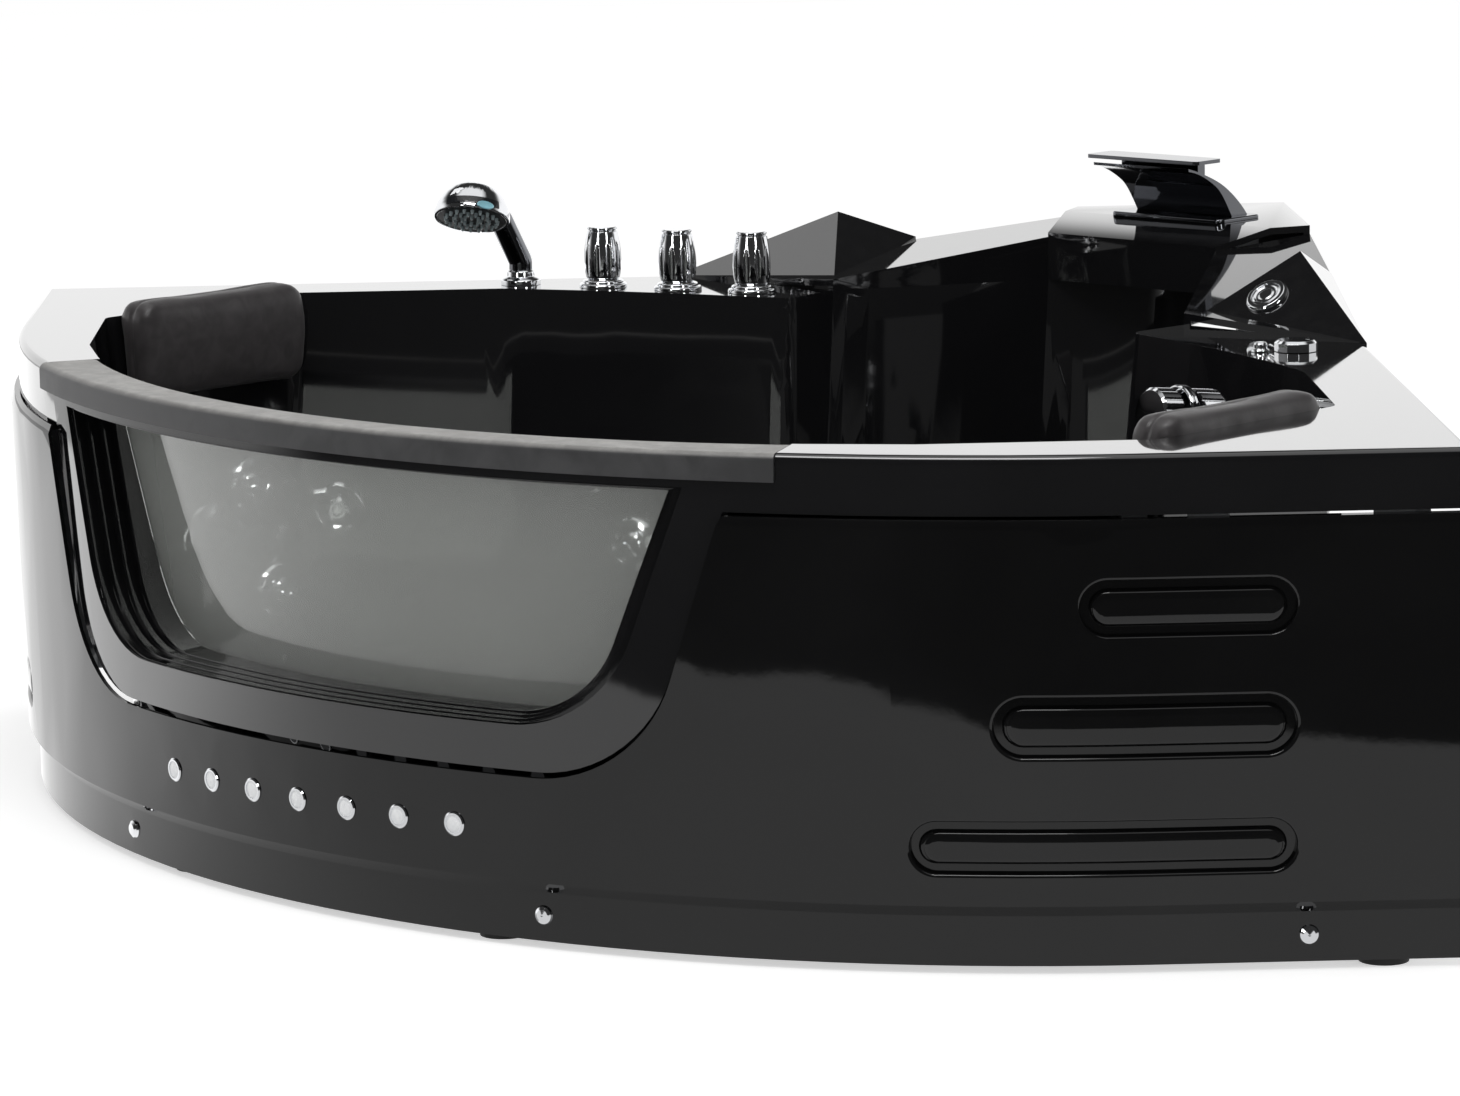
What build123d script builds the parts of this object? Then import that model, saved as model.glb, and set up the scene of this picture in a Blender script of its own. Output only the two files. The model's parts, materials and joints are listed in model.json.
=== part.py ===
"""Corner jetted bathtub, millimetres.

+Z is up. The two walls of the room are the planes x = corner and y = corner, the rounded
front faces (-X, -Y), and the origin is on the floor under the middle of the footprint.
Plan points are given by their distances from the two walls, with plan(from_x, from_y).
"""
import os
from math import atan2, cos, degrees, hypot, radians, sin, sqrt, tan

from build123d import *

os.makedirs("parts", exist_ok=True)

# Driving dimensions of the tub
shell_size = 1500.0          # along each wall, outside of the tub's own rim
apron_proud = 11.0           # how far the apron's top stands out past the rim
return_length = 315.0        # straight part of the front next to each wall
deck_height = 513.0          # floor to the top of the deck
wall = 8.0                   # thickness of the moulded shell
rim_drop = 59.0              # depth of the turned-down rim
rim_round = 9.0              # rounding of the rim's top edge
floor_gap = 8.0              # apron's lower edge above the floor
side_strip = 95.0            # deck between the rim and the basin
basin_floor = 90.0           # inside floor of the basin
basin_draft = 6.0            # slope of the basin's walls, degrees
lounge_chamfer = 200.0       # leg of the slanted corner under each headrest
small_gap = 0.3              # running and seating gap between pieces

corner = (shell_size + apron_proud) / 2
front = corner - shell_size
arc_mid = corner - return_length
rim_radius = shell_size - return_length
deck_under = deck_height - wall
seam_height = deck_height - rim_drop
diagonal = Plane(origin=(0, 0, 0), x_dir=(1, 1, 0), z_dir=(1, -1, 0))
# Looks square at the middle of the rounded front: x runs to the right and y up
front_view = Plane(origin=(arc_mid, arc_mid, 0), x_dir=(1, -1, 0), z_dir=(-1, -1, 0))


def plan(from_x_wall, from_y_wall):
    return (corner - from_x_wall, corner - from_y_wall)


def swapped(point):
    """The same point on the other side of the diagonal."""
    return (point[1], point[0])


def front_point(radius, angle):
    """Point on a circle about the front's centre, angle in degrees from the diagonal."""
    turn = radians(225 + angle)
    return (arc_mid + radius * cos(turn), arc_mid + radius * sin(turn))


def lift(point, height):
    return Vector(point[0], point[1], height)


def plane_through(a, b, c):
    """Plane through three points, facing up."""
    normal = (b - a).cross(c - a).normalized()
    if normal.Z < 0:
        normal = normal * -1
    return Plane(origin=a, z_dir=normal)


def circle_centre(a, b, c):
    """Centre of the circle through three plan points."""
    (ax, ay), (bx, by), (cx, cy) = a, b, c
    d = 2 * (ax * (by - cy) + bx * (cy - ay) + cx * (ay - by))
    sa, sb, sc = ax * ax + ay * ay, bx * bx + by * by, cx * cx + cy * cy
    x = (sa * (by - cy) + sb * (cy - ay) + sc * (ay - by)) / d
    y = (sa * (cx - bx) + sb * (ax - cx) + sc * (bx - ax)) / d
    return (x, y)


def finish(part, name):
    part.part.label = name
    export_step(part.part, f"parts/{name}.step")


def deck_sheet(level, front_grow=0.0, wall_grow=0.0):
    """Outline of the whole tub, with its front and its wall sides moved outwards."""
    near = front - front_grow
    far = corner + wall_grow
    with BuildSketch(Plane.XY.offset(level)) as sheet:
        with BuildLine():
            Line((arc_mid, near), (far, near))
            Line((far, near), (far, far))
            Line((far, far), (near, far))
            Line((near, far), (near, arc_mid))
            CenterArc((arc_mid, arc_mid), rim_radius + front_grow, 180, 90)
        make_face()
    return sheet.sketch


# Rail: the padded cap over the window, and the notch that it lies in
rail_angle = 27.5
rail_height = 28.0
rail_width_middle = 47.0
rail_width_end = 65.0
rail_proud = 4.0
rail_seat = deck_height - rail_height

# Plan of the basin's opening, left half, from the front to the inner corner of the deck
basin_front = front_point(rim_radius - rail_width_middle, 0)
basin_nose = front_point(rim_radius - rail_width_end, -rail_angle - 0.6)
basin_side = shell_size - side_strip
side_tip = plan(basin_side, 532)
chamfer_low = plan(basin_side, side_strip + lounge_chamfer)
chamfer_high = plan(basin_side - lounge_chamfer, side_strip)
shelf_start = plan(950, side_strip)
shelf_middle = plan(800, 150)
inner_corner = plan(613, 247)
crest_start = plan(556, 180)
panel_edge = plan(296, 116)
panel_middle = plan(168, 168)
outline_round = 22.0


def basin_sheet(level, grow=0.0):
    """Outline of the basin's opening, moved outwards by grow."""
    with BuildSketch(Plane.XY.offset(level)) as sheet:
        with BuildLine():
            ThreePointArc(basin_nose, basin_front, swapped(basin_nose))
            for side in (lambda p: p, swapped):
                Polyline(*[side(p) for p in (basin_nose, side_tip, chamfer_low,
                                             chamfer_high, shelf_start)])
                ThreePointArc(side(shelf_start), side(shelf_middle), side(inner_corner))
                Polyline(*[side(p) for p in (inner_corner, crest_start, panel_edge)])
            ThreePointArc(panel_edge, panel_middle, swapped(panel_edge))
        make_face()
        corners = [p for one in (side_tip, chamfer_low, chamfer_high, inner_corner)
                   for p in (one, swapped(one))]
        tight = [v for v in sheet.vertices()
                 if min(hypot(v.X - x, v.Y - y) for x, y in corners) < 1]
        fillet(tight, outline_round)
        if grow:
            offset(amount=grow)
    return sheet.sketch


def window_sheet(half_top, half_bottom, top, bottom, round_):
    """Face-on outline of the window, wider at its top."""
    with BuildSketch(front_view.offset(cut_start)) as sheet:
        with BuildLine():
            Polyline((-half_top, top), (-half_bottom, bottom), (half_bottom, bottom),
                     (half_top, top), close=True)
        make_face()
        fillet(sheet.vertices().group_by(Axis.Y)[0], round_)
    return sheet.sketch


# Window in the rounded front, from the bezel inwards
bezel_half_top = 508.0       # the bezel's outline at the height of the rail's seat
bezel_half_bottom = 413.0
bezel_bottom = 182.0
bezel_round = 148.0
bezel_gap = 5.0              # gap between the bezel and the apron around it
opening_bottom = bezel_bottom + 46.0
opening_top = rail_seat - wall
opening_half_top = 461.0
opening_half_bottom = 373.0
opening_round = 140.0
step_count = 4               # steps of the frame between the bezel and the glass
step_side = 11.5             # how far each step closes in
step_bottom = 1.2
step_top = 2.75
step_depth = 13.0
frame_proud = -4.0           # frame's front edge lies inside the bezel's face
cut_start = 900.0            # cutters run through the front only, from this far out
cut_length = 350.0


def opening_cutter(side_in=0.0, bottom_in=0.0, top=opening_top):
    """Prism through the front, as wide as the window's opening less side_in."""
    with BuildPart() as cutter:
        extrude(window_sheet(opening_half_top - side_in, opening_half_bottom - side_in, top,
                             opening_bottom + bottom_in, opening_round - side_in / 2),
                amount=cut_length)
    return cutter.part


def front_band(inner, outer, low, high):
    """Slice of the rounded front between two radii."""
    with BuildPart() as band:
        with BuildSketch(Plane.XY.offset(low)):
            with Locations((arc_mid, arc_mid)):
                Circle(outer)
                Circle(inner, mode=Mode.SUBTRACT)
        extrude(amount=high - low)
    return band.part


# Raised corner: a plateau under the spout, a sloping shelf each side of it, and a pyramid
plateau_top = 587.0
crest_height = 569.0         # top of the panel behind the bather, at its two edges
shelf_step = 5.0             # the shelf lies this much lower than the plateau's edge
slope_end = 225.0            # along the diagonal from the corner, where the plateau is level
wall_rise_start = plan(740, 0)
wall_rise_end = plan(250, 0)
wall_rise_top = 582.0
pyramid_wall_end = plan(447, 0)
pyramid_top = plan(543, 48)
pyramid_height = 592.0
cut_above = 120.0            # blocks start this tall and are cut down to their slopes

rise = (wall_rise_top - deck_height) / (740 - 250)
pyramid_wall_height = deck_height + rise * (740 - 447)


def block(points, planes):
    """Prism over a plan outline, cut down to each of the sloping planes."""
    with BuildPart() as made:
        with BuildSketch(Plane.XY.offset(deck_under)):
            with BuildLine():
                Polyline(*points, close=True)
            make_face()
        extrude(amount=cut_above)
        for plane in planes:
            split(bisect_by=plane, keep=Keep.BOTTOM)
    return made.part


pyramid_foot = lift(crest_start, deck_height)
pyramid_apex = lift(pyramid_top, pyramid_height)
pyramid_start = lift(wall_rise_start, deck_height)
pyramid_end = lift(pyramid_wall_end, pyramid_wall_height)
pyramid_face = plane_through(pyramid_foot, pyramid_apex, pyramid_start)
pyramid = block([crest_start, wall_rise_start, pyramid_wall_end],
                [pyramid_face, plane_through(pyramid_foot, pyramid_apex, pyramid_end),
                 plane_through(pyramid_start, pyramid_apex, pyramid_end)])
shelf = block([crest_start, wall_rise_start, wall_rise_end, panel_edge],
              [plane_through(lift(panel_edge, crest_height - shelf_step), pyramid_start,
                             lift(wall_rise_end, wall_rise_top - shelf_step))])
slope_middle = corner - slope_end / sqrt(2)
plateau = block([plan(0, 0), wall_rise_end, panel_edge, swapped(panel_edge),
                 swapped(wall_rise_end)],
                [plane_through(lift(panel_edge, crest_height),
                               lift(swapped(panel_edge), crest_height),
                               Vector(slope_middle, slope_middle, plateau_top)),
                 Plane.XY.offset(plateau_top)])

with BuildPart() as raised_corner:
    for one in (pyramid, shelf):
        add(one)
        add(one.mirror(diagonal))
    add(plateau)

with BuildPart() as raised_hollow:
    add(raised_corner.part.moved(Location((0, 0, -wall))))
    add(deck_sheet(deck_under - wall, -wall, -wall))
    extrude(amount=cut_above, mode=Mode.INTERSECT)
    add(basin_sheet(deck_under - wall, wall))
    extrude(amount=cut_above, mode=Mode.SUBTRACT)

# Fittings' places. Taps and shower stand on the deck beside the left wall
shower_place = (-170.0, 697.0)
tap_places = [(-71.5, 657.5), (16.5, 613.5), (103.5, 575.5)]
deck_hole = 15.0             # under the taps, the hand shower and the air knob
air_knob_place = (corner - 84.0, -35.5)
deck_places = tap_places + [shower_place, air_knob_place]
bleed_place = (corner - 122.5, -38.0)
bleed_hole = 4.3
ring_centre = plan(586.5, 90)
button_hole = 19.0
spout_middle = corner - 190.0 / sqrt(2)
spout_hole = 17.0
drain_place = (-60.0, -60.0)
drain_hole = 26.0


def ring_height():
    """Height of the pyramid's near face at the push button."""
    normal = pyramid_face.z_dir
    dx, dy = ring_centre[0] - pyramid_foot.X, ring_centre[1] - pyramid_foot.Y
    return deck_height - (normal.X * dx + normal.Y * dy) / normal.Z


def wall_plane(place, inward, height):
    """Plane on the basin's sloping wall, below a point of its outline, facing inwards."""
    slope = radians(basin_draft)
    along = Vector(inward[0], inward[1], 0).normalized()
    drop = (deck_height - height) * tan(slope)
    return Plane(origin=Vector(place[0], place[1], height) + along * drop,
                 x_dir=Vector(-along.Y, along.X, 0),
                 z_dir=along * cos(slope) + Vector(0, 0, sin(slope)))


def mirrored(plane):
    """The same plane on the other side of the diagonal."""
    o, z = plane.origin, plane.z_dir
    return Plane(origin=(o.Y, o.X, o.Z), x_dir=(-z.X, z.Y, 0), z_dir=(z.Y, z.X, z.Z))


button_plane = mirrored(Plane(origin=lift(ring_centre, ring_height()),
                              z_dir=pyramid_face.z_dir))

# Fittings on the basin's walls, left half: chamfer under the headrest, then the back wall
chamfer_middle = ((chamfer_low[0] + chamfer_high[0]) / 2, (chamfer_low[1] + chamfer_high[1]) / 2)


def on_chamfer(along, height):
    shift = along / sqrt(2)
    return wall_plane((chamfer_middle[0] + shift, chamfer_middle[1] + shift), (1, -1), height)


shelf_centre = circle_centre(shelf_start, shelf_middle, inner_corner)
shelf_radius = hypot(shelf_start[0] - shelf_centre[0], shelf_start[1] - shelf_centre[1])


def on_shelf_wall(x, height):
    """Plane on the curved wall under the taps, at a given x."""
    y = shelf_centre[1] + sqrt(shelf_radius ** 2 - (x - shelf_centre[0]) ** 2)
    return wall_plane((x, y), (shelf_centre[0] - x, shelf_centre[1] - y), height)


jet_planes_left = [on_chamfer(53, 295), on_chamfer(79, 166),
                   wall_plane((-396, corner - side_strip), (0, -1), 254.5),
                   on_shelf_wall(-30.5, 215)]
jet_planes = jet_planes_left + [mirrored(p) for p in jet_planes_left]
small_jet_planes = [on_shelf_wall(-81.5, 289), mirrored(on_shelf_wall(-81.5, 289))]
suction_plane = on_chamfer(-15, 232)
overflow_plane = mirrored(on_shelf_wall(49, 431))
pad_planes = [on_chamfer(-85, 468), on_chamfer(85, 468)]
pad_planes += [mirrored(p) for p in pad_planes]
jet_hole = 22.0
small_jet_hole = 8.0
suction_hole = 38.0
overflow_hole = 22.0
pad_hole = 6.3

with BuildPart() as tub_shell:
    # Deck with its turned-down rim
    add(deck_sheet(seam_height))
    extrude(amount=rim_drop)
    front_top = [e for e in tub_shell.edges().group_by(Axis.Z)[-1]
                 if min(e.center().X, e.center().Y) < arc_mid - 1]
    fillet(front_top, rim_round)
    add(deck_sheet(seam_height, -wall, -wall))
    extrude(amount=rim_drop - wall, mode=Mode.SUBTRACT)
    add(raised_corner.part)
    add(raised_hollow.part, mode=Mode.SUBTRACT)
    # Basin, outside first
    add(basin_sheet(deck_height, wall))
    extrude(amount=-(deck_height - basin_floor + wall), taper=basin_draft)
    # Bezel, the tunnel through it to the glass, and the seat under the rail
    with BuildPart(mode=Mode.PRIVATE) as window_wall:
        add(front_band(rim_radius - 120, rim_radius, bezel_bottom, rail_seat))
        add(opening_cutter(-6, -6, rail_seat), mode=Mode.INTERSECT)
    with BuildPart(mode=Mode.PRIVATE) as bezel:
        add(front_band(rim_radius - wall, rim_radius, bezel_bottom, rail_seat))
        extrude(window_sheet(bezel_half_top, bezel_half_bottom, rail_seat, bezel_bottom,
                             bezel_round), amount=cut_length, mode=Mode.INTERSECT)
    add(window_wall.part)
    add(bezel.part)
    add(opening_cutter(), mode=Mode.SUBTRACT)
    # Basin, inside
    add(basin_sheet(deck_height))
    extrude(amount=-(deck_height - basin_floor), taper=basin_draft, mode=Mode.SUBTRACT)
    # Notch for the rail
    with BuildPart(mode=Mode.PRIVATE) as notch:
        add(front_band(rim_radius - 90, rim_radius + 20, rail_seat, deck_height + 20))
        with BuildSketch(Plane.XY.offset(rail_seat)):
            with BuildLine():
                Polyline((arc_mid, arc_mid), front_point(1400, -rail_angle),
                         front_point(1400, rail_angle), close=True)
            make_face()
        extrude(amount=deck_height, mode=Mode.INTERSECT)
    add(notch.part, mode=Mode.SUBTRACT)
    # Holes for the fittings
    with Locations([(x, y, deck_height) for x, y in deck_places]):
        Hole(deck_hole, 2 * rim_drop)
    with Locations((*bleed_place, deck_height)):
        Hole(bleed_hole, 3 * wall)
    with Locations((spout_middle, spout_middle, plateau_top)):
        Hole(spout_hole, 2 * rim_drop)
    with Locations(button_plane):
        Hole(button_hole, 3 * wall)
    with Locations((*drain_place, basin_floor)):
        Hole(drain_hole, 3 * wall)
    for planes, radius in ((jet_planes, jet_hole), (small_jet_planes, small_jet_hole),
                           ([suction_plane], suction_hole), ([overflow_plane], overflow_hole),
                           (pad_planes, pad_hole)):
        with Locations(*planes):
            Hole(radius, 3 * wall)
finish(tub_shell, "tub_shell")


def turned(*profile):
    """Solid turned about Z, from pairs of radius and height."""
    with BuildPart() as made:
        with BuildSketch(Plane.XZ):
            with BuildLine():
                Polyline(*profile, close=True)
            make_face()
        revolve(axis=Axis.Z)
    return made.part


# Apron: pressed panel around the three open sides, hung under the rim
apron_sheet = 5.0
base_top = 70.0              # the panel steps back below this, to a plain base band
base_in = -8.0               # base band's outer face, from the rim's face
panel_low = 3.5              # the panel's outer face, from the rim's face, at its bottom
panel_top = 442.0
lip_top = seam_height - 3.0
base_inner = base_in - apron_sheet


def panel_out(height):
    """How far the panel's outer face stands out at a height."""
    return panel_low + (apron_proud - panel_low) * (height - base_top) / (panel_top - base_top)


def apron_sweep(points):
    """Sweep a profile of (outwards, up) pairs around the front."""
    with BuildPart() as swept:
        with BuildLine():
            Line((corner, front), (arc_mid, front))
            RadiusArc((arc_mid, front), (front, arc_mid), rim_radius)
            Line((front, arc_mid), (front, corner))
        with BuildSketch(Plane(origin=(corner, front, 0), x_dir=(0, -1, 0), z_dir=(-1, 0, 0))):
            with BuildLine():
                Polyline(*points, close=True)
            make_face()
        sweep()
    return swept.part


def panel_band(depth_outer, depth_inner):
    """Layer of the panel between two depths behind its outer face."""
    return apron_sweep([(panel_out(z) - d, z) for z, d in (
        (base_top, depth_outer), (panel_top, depth_outer),
        (panel_top, depth_inner), (base_top, depth_inner))])


slot_end = 583.5
slots = [(373.5, 337.0, 392.0), (289.5, 218.0, 277.0), (208.5, 102.0, 154.0)]
pocket_depth = 10.0
pocket_wall = 3.0
pocket_round = 3.5
pill_margin = 9.0
pill_rise = 7.0
pill_round = 6.0


def slot_prisms(grow):
    """The three long slots beside the window, and their mirror images."""
    with BuildPart() as prisms:
        for start, low, high in slots:
            with BuildSketch(Plane(origin=((start + slot_end) / 2, front - 60, (low + high) / 2),
                                   x_dir=(1, 0, 0), z_dir=(0, 1, 0))):
                SlotOverall(slot_end - start + 2 * grow, high - low + 2 * grow)
            extrude(amount=170)
        mirror(about=diagonal)
    return prisms.part


def pocket_mouths(part):
    """Edges where the pockets open through the panel's face."""
    def at_slot(edge):
        middle = edge.center()
        return any(start - 1 < max(middle.X, middle.Y) < slot_end + 1
                   and low - 1 < middle.Z < high + 1 for start, low, high in slots)
    return [e for f in part.faces() if f.area > 20000 for e in f.edges() if at_slot(e)]


def pill_rims(part):
    """Edges around the pills' outer faces."""
    def outwards(face):
        middle, way = face.center(), face.normal_at()
        return (way.Y if middle.X > middle.Y else way.X) < -0.9
    rims = [e for f in part.faces() if outwards(f) for e in f.edges()]
    return [e for e in rims if sum(e.is_same(other) for other in rims) == 1]


led_height = 121.4
led_spacing = degrees(0.0595)
led_hole = 10.8
screw_height = 35.0
screw_angles = (-16.1, 14.9)
screw_return = 596.5
screw_hole = 3.3
panel_slope = atan2(apron_proud - panel_low, panel_top - base_top)


def facing_out(place, outwards, height, drop=0.0):
    """Plane facing outwards at a point of the front, its face turned down by drop."""
    along = Vector(outwards[0], outwards[1], 0).normalized()
    return Plane(origin=Vector(place[0], place[1], height), x_dir=Vector(-along.Y, along.X, 0),
                 z_dir=along * cos(drop) - Vector(0, 0, sin(drop)))


def on_front(radius, angle, height, drop=0.0):
    point = front_point(radius, angle)
    return facing_out(point, (point[0] - arc_mid, point[1] - arc_mid), height, drop)


led_planes = [on_front(rim_radius + panel_out(led_height), k * led_spacing, led_height,
                       panel_slope) for k in range(-3, 4)]
screw_planes = [on_front(rim_radius + base_in, a, screw_height)
                for a in screw_angles]
screw_planes += [facing_out((screw_return, front - base_in), (0, -1), screw_height),
                 facing_out((front - base_in, screw_return), (-1, 0), screw_height)]

with BuildPart() as front_apron:
    add(apron_sweep([(base_in, floor_gap), (base_in, base_top - 12), (panel_low, base_top),
                     (apron_proud, panel_top), (6, lip_top), (-6, lip_top), (-6, lip_top - 5),
                     (4.5, lip_top - 5), (6, panel_top - 2),
                     (panel_low - apron_sheet, base_top + 2), (base_inner, base_top - 9.5),
                     (base_inner, floor_gap)]))
    with BuildPart(mode=Mode.PRIVATE) as tray:
        add(panel_band(1, pocket_depth + pocket_wall))
        add(slot_prisms(pocket_wall), mode=Mode.INTERSECT)
    add(tray.part)
    with BuildPart(mode=Mode.PRIVATE) as pocket:
        add(panel_band(-8, pocket_depth))
        add(slot_prisms(0), mode=Mode.INTERSECT)
    add(pocket.part, mode=Mode.SUBTRACT)
    fillet(pocket_mouths(front_apron), radius=pocket_round)
    with BuildPart(mode=Mode.PRIVATE) as pill:
        add(panel_band(pocket_depth - pill_rise, pocket_depth + 1))
        add(slot_prisms(-pill_margin), mode=Mode.INTERSECT)
        fillet(pill_rims(pill), radius=pill_round)
    add(pill.part)
    extrude(window_sheet(bezel_half_top + bezel_gap, bezel_half_bottom + bezel_gap, rail_seat,
                         bezel_bottom - bezel_gap, bezel_round + bezel_gap),
            amount=cut_length, mode=Mode.SUBTRACT)
    with Locations(*led_planes):
        Hole(led_hole, 30)
    with Locations(*screw_planes):
        Hole(screw_hole, 30)
finish(front_apron, "front_apron")

# Window frame, in steps from the bezel down to the glass, and the glass in the basin's wall
with BuildPart() as window_frame:
    add(front_band(rim_radius - 120, rim_radius + frame_proud, bezel_bottom, opening_top))
    add(opening_cutter(small_gap, small_gap), mode=Mode.INTERSECT)
    with BuildPart(mode=Mode.PRIVATE) as basin_space:
        add(basin_sheet(deck_height))
        extrude(amount=-(deck_height - basin_floor), taper=basin_draft)
    add(basin_space.part, mode=Mode.SUBTRACT)
    for k in range(1, step_count + 1):
        with BuildPart(mode=Mode.PRIVATE) as step:
            add(front_band(rim_radius - 140 if k == step_count else
                           rim_radius + frame_proud - k * step_depth,
                           rim_radius + 20, bezel_bottom, opening_top))
            add(opening_cutter(k * step_side, k * step_bottom, opening_top - k * step_top),
                mode=Mode.INTERSECT)
        add(step.part, mode=Mode.SUBTRACT)
finish(window_frame, "window_frame")

with BuildPart() as window_glass:
    add(basin_sheet(deck_height, wall))
    extrude(amount=-(deck_height - basin_floor + wall), taper=basin_draft)
    add(basin_space.part, mode=Mode.SUBTRACT)
    add(opening_cutter(step_count * step_side + small_gap, step_count * step_bottom,
                       opening_top - step_count * step_top - small_gap), mode=Mode.INTERSECT)
finish(window_glass, "window_glass")

# Rail over the window
with BuildPart() as rail_cap:
    add(front_band(rim_radius - 90, rim_radius + rail_proud, rail_seat, deck_height))
    with BuildSketch(Plane.XY.offset(rail_seat)):
        with BuildLine():
            Polyline((arc_mid, arc_mid), front_point(1400, -rail_angle + 0.03),
                     front_point(1400, rail_angle - 0.03), close=True)
        make_face()
    extrude(amount=deck_height, mode=Mode.INTERSECT)
    add(basin_sheet(rail_seat))
    extrude(amount=deck_height, mode=Mode.SUBTRACT)
    long_edges = [e for e in rail_cap.edges().group_by(Axis.Z)[-1] if e.length > 300]
    fillet(long_edges, 8)
finish(rail_cap, "rail_cap")

# Headrests: each hangs over the slanted corner of the basin, off the sloping wall
pad_length = 256.0
pad_top = 22.0               # above the deck
pad_bottom = -101.0
pad_thick = 42.0
pad_wedge = 8.0              # thicker at the top and thinner at the bottom by this much
pad_crown = 7.0
pad_clear = 0.5
pad_corner = 24.0
pad_round = 12.0

with BuildPart() as headrest_left:
    with BuildSketch(Plane(origin=lift(chamfer_middle, deck_height), x_dir=(1, -1, 0),
                           z_dir=(-1, -1, 0))):
        lean = tan(radians(basin_draft))
        with BuildLine():
            low_back = (pad_clear - pad_bottom * lean, pad_bottom)
            high_back = (pad_clear - pad_top * lean, pad_top)
            high_front = (high_back[0] + pad_thick + pad_wedge, pad_top - 3)
            low_front = (low_back[0] + pad_thick - pad_wedge, pad_bottom + 3)
            Line(low_back, high_back)
            Line(high_back, high_front)
            ThreePointArc(high_front, ((high_front[0] + low_front[0]) / 2 + pad_crown,
                                       (high_front[1] + low_front[1]) / 2), low_front)
            Line(low_front, low_back)
        make_face()
    extrude(amount=pad_length / 2, both=True)
    # Rounded corners, seen face on
    with BuildSketch(Plane(origin=lift(chamfer_middle, deck_height), x_dir=(1, 1, 0),
                           z_dir=(1, -1, 0))) as face_on:
        with Locations((0, (pad_top + pad_bottom) / 2)):
            Rectangle(pad_length - 0.2, pad_top - pad_bottom - 6.2)
        fillet(face_on.vertices(), pad_corner)
    extrude(amount=pad_length, both=True, mode=Mode.INTERSECT)
    fillet(headrest_left.edges(), pad_round)
finish(headrest_left, "headrest_left")

with BuildPart() as headrest_right:
    add(headrest_left.part.mirror(diagonal))
finish(headrest_right, "headrest_right")

wall_across = wall * cos(radians(basin_draft))
plug = turned((0, pad_clear * cos(radians(basin_draft))), (6, pad_clear * cos(radians(basin_draft))),
              (6, -wall_across), (11, -wall_across), (11, -wall_across - 3), (0, -wall_across - 3))
with BuildPart() as headrest_plugs:
    with Locations(*pad_planes):
        add(plug)
finish(headrest_plugs, "headrest_plugs")

# Hand shower: collar on the deck, leaning handle, domed head and its spray face
handle_radius = 12.0
grip_radius = 14.0
collar_height = 18.0
head_centre = (-226.5, 655.5, 598.5)
head_normal = Vector(-0.1, -0.45, -0.89).normalized()
head_radius = 45.5
nut_high = 9.0

with BuildPart() as shower_holder:
    with Locations((*shower_place, deck_height)):
        add(turned((handle_radius + 0.05, -24), (handle_radius + 0.05, collar_height),
                   (14.5, collar_height), (16.5, collar_height - 2), (17, 10), (22, 8),
                   (24, 6), (24, 0), (deck_hole - 0.3, 0), (deck_hole - 0.3, -24)))
        add(turned((deck_hole - 0.3, -wall), (23, -wall), (23, -wall - nut_high),
                   (deck_hole - 0.3, -wall - nut_high)))
finish(shower_holder, "shower_holder")

head_plane = Plane(origin=head_centre, x_dir=(1, 0, -0.118), z_dir=head_normal)
dome = [(30, -33.5), (38.5, -23.5), (43.5, -13)]
with BuildPart() as shower_head:
    with Locations(head_plane):
        add(turned((0, -43), (17, -40.5), *dome, (head_radius, -4), (head_radius, 1),
                   (head_radius - 1, 2), (head_radius - 4, 2), (head_radius - 4, -2), (0, -2)))
finish(shower_head, "shower_head")

visor = 0.7                  # dark band let in around the near side of the dome
visor_arc = 86.0
visor_turn = 47.0
with BuildPart() as shower_face:
    with Locations(head_plane):
        add(turned((0, -2), (head_radius - 4, -2), (head_radius - 4, 1), (0, 1)))
    with Locations(head_plane.offset(1)):
        for ring, count in ((11, 8), (21, 14), (31, 20)):
            with PolarLocations(ring, count):
                Cone(1.6, 1.0, 1.8, align=(Align.CENTER, Align.CENTER, Align.MIN))
    with BuildPart(mode=Mode.PRIVATE) as band:
        with BuildSketch(Plane.XZ):
            with BuildLine():
                Polyline(*dome, *[(r + visor, d) for r, d in reversed(dome)], close=True)
            make_face()
        revolve(axis=Axis.Z, revolution_arc=visor_arc)
    with Locations(head_plane):
        with Locations(Location((0, 0, 0), (0, 0, visor_turn))):
            add(band.part)
finish(shower_face, "shower_face")

handle_low = lift(shower_place, deck_height - 20)
grip_low = lift(shower_place, deck_height + collar_height + 0.5)
handle_bend = lift(shower_place, deck_height + collar_height + 10)
head_back = Vector(*head_centre) - head_normal * 16
sideways = handle_bend - head_back
sideways = (sideways - head_normal * sideways.dot(head_normal)).normalized()
with BuildPart() as shower_handle:
    with BuildLine():
        FilletPolyline(handle_low, handle_bend, head_back + sideways * 46, head_back, radius=14)
    with BuildSketch(Plane(origin=handle_low, z_dir=(0, 0, 1))):
        Circle(handle_radius)
    sweep()
    with BuildPart(mode=Mode.PRIVATE) as grip:
        with BuildLine():
            FilletPolyline(grip_low, handle_bend, head_back + sideways * 46, head_back,
                           radius=14)
        with BuildSketch(Plane(origin=grip_low, z_dir=(0, 0, 1))):
            Circle(grip_radius)
        sweep()
    add(grip.part)
    add(shower_head.part, mode=Mode.SUBTRACT)
    add(shower_face.part, mode=Mode.SUBTRACT)
finish(shower_handle, "shower_handle")

# Taps: fluted barrel on a stepped flange, turning on the spindle of the valve under the deck
tap_top = 72.5
flange_high = 9.0
tap_clear = 0.4
spindle = 6.0
spindle_bore = spindle + 0.05

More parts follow.
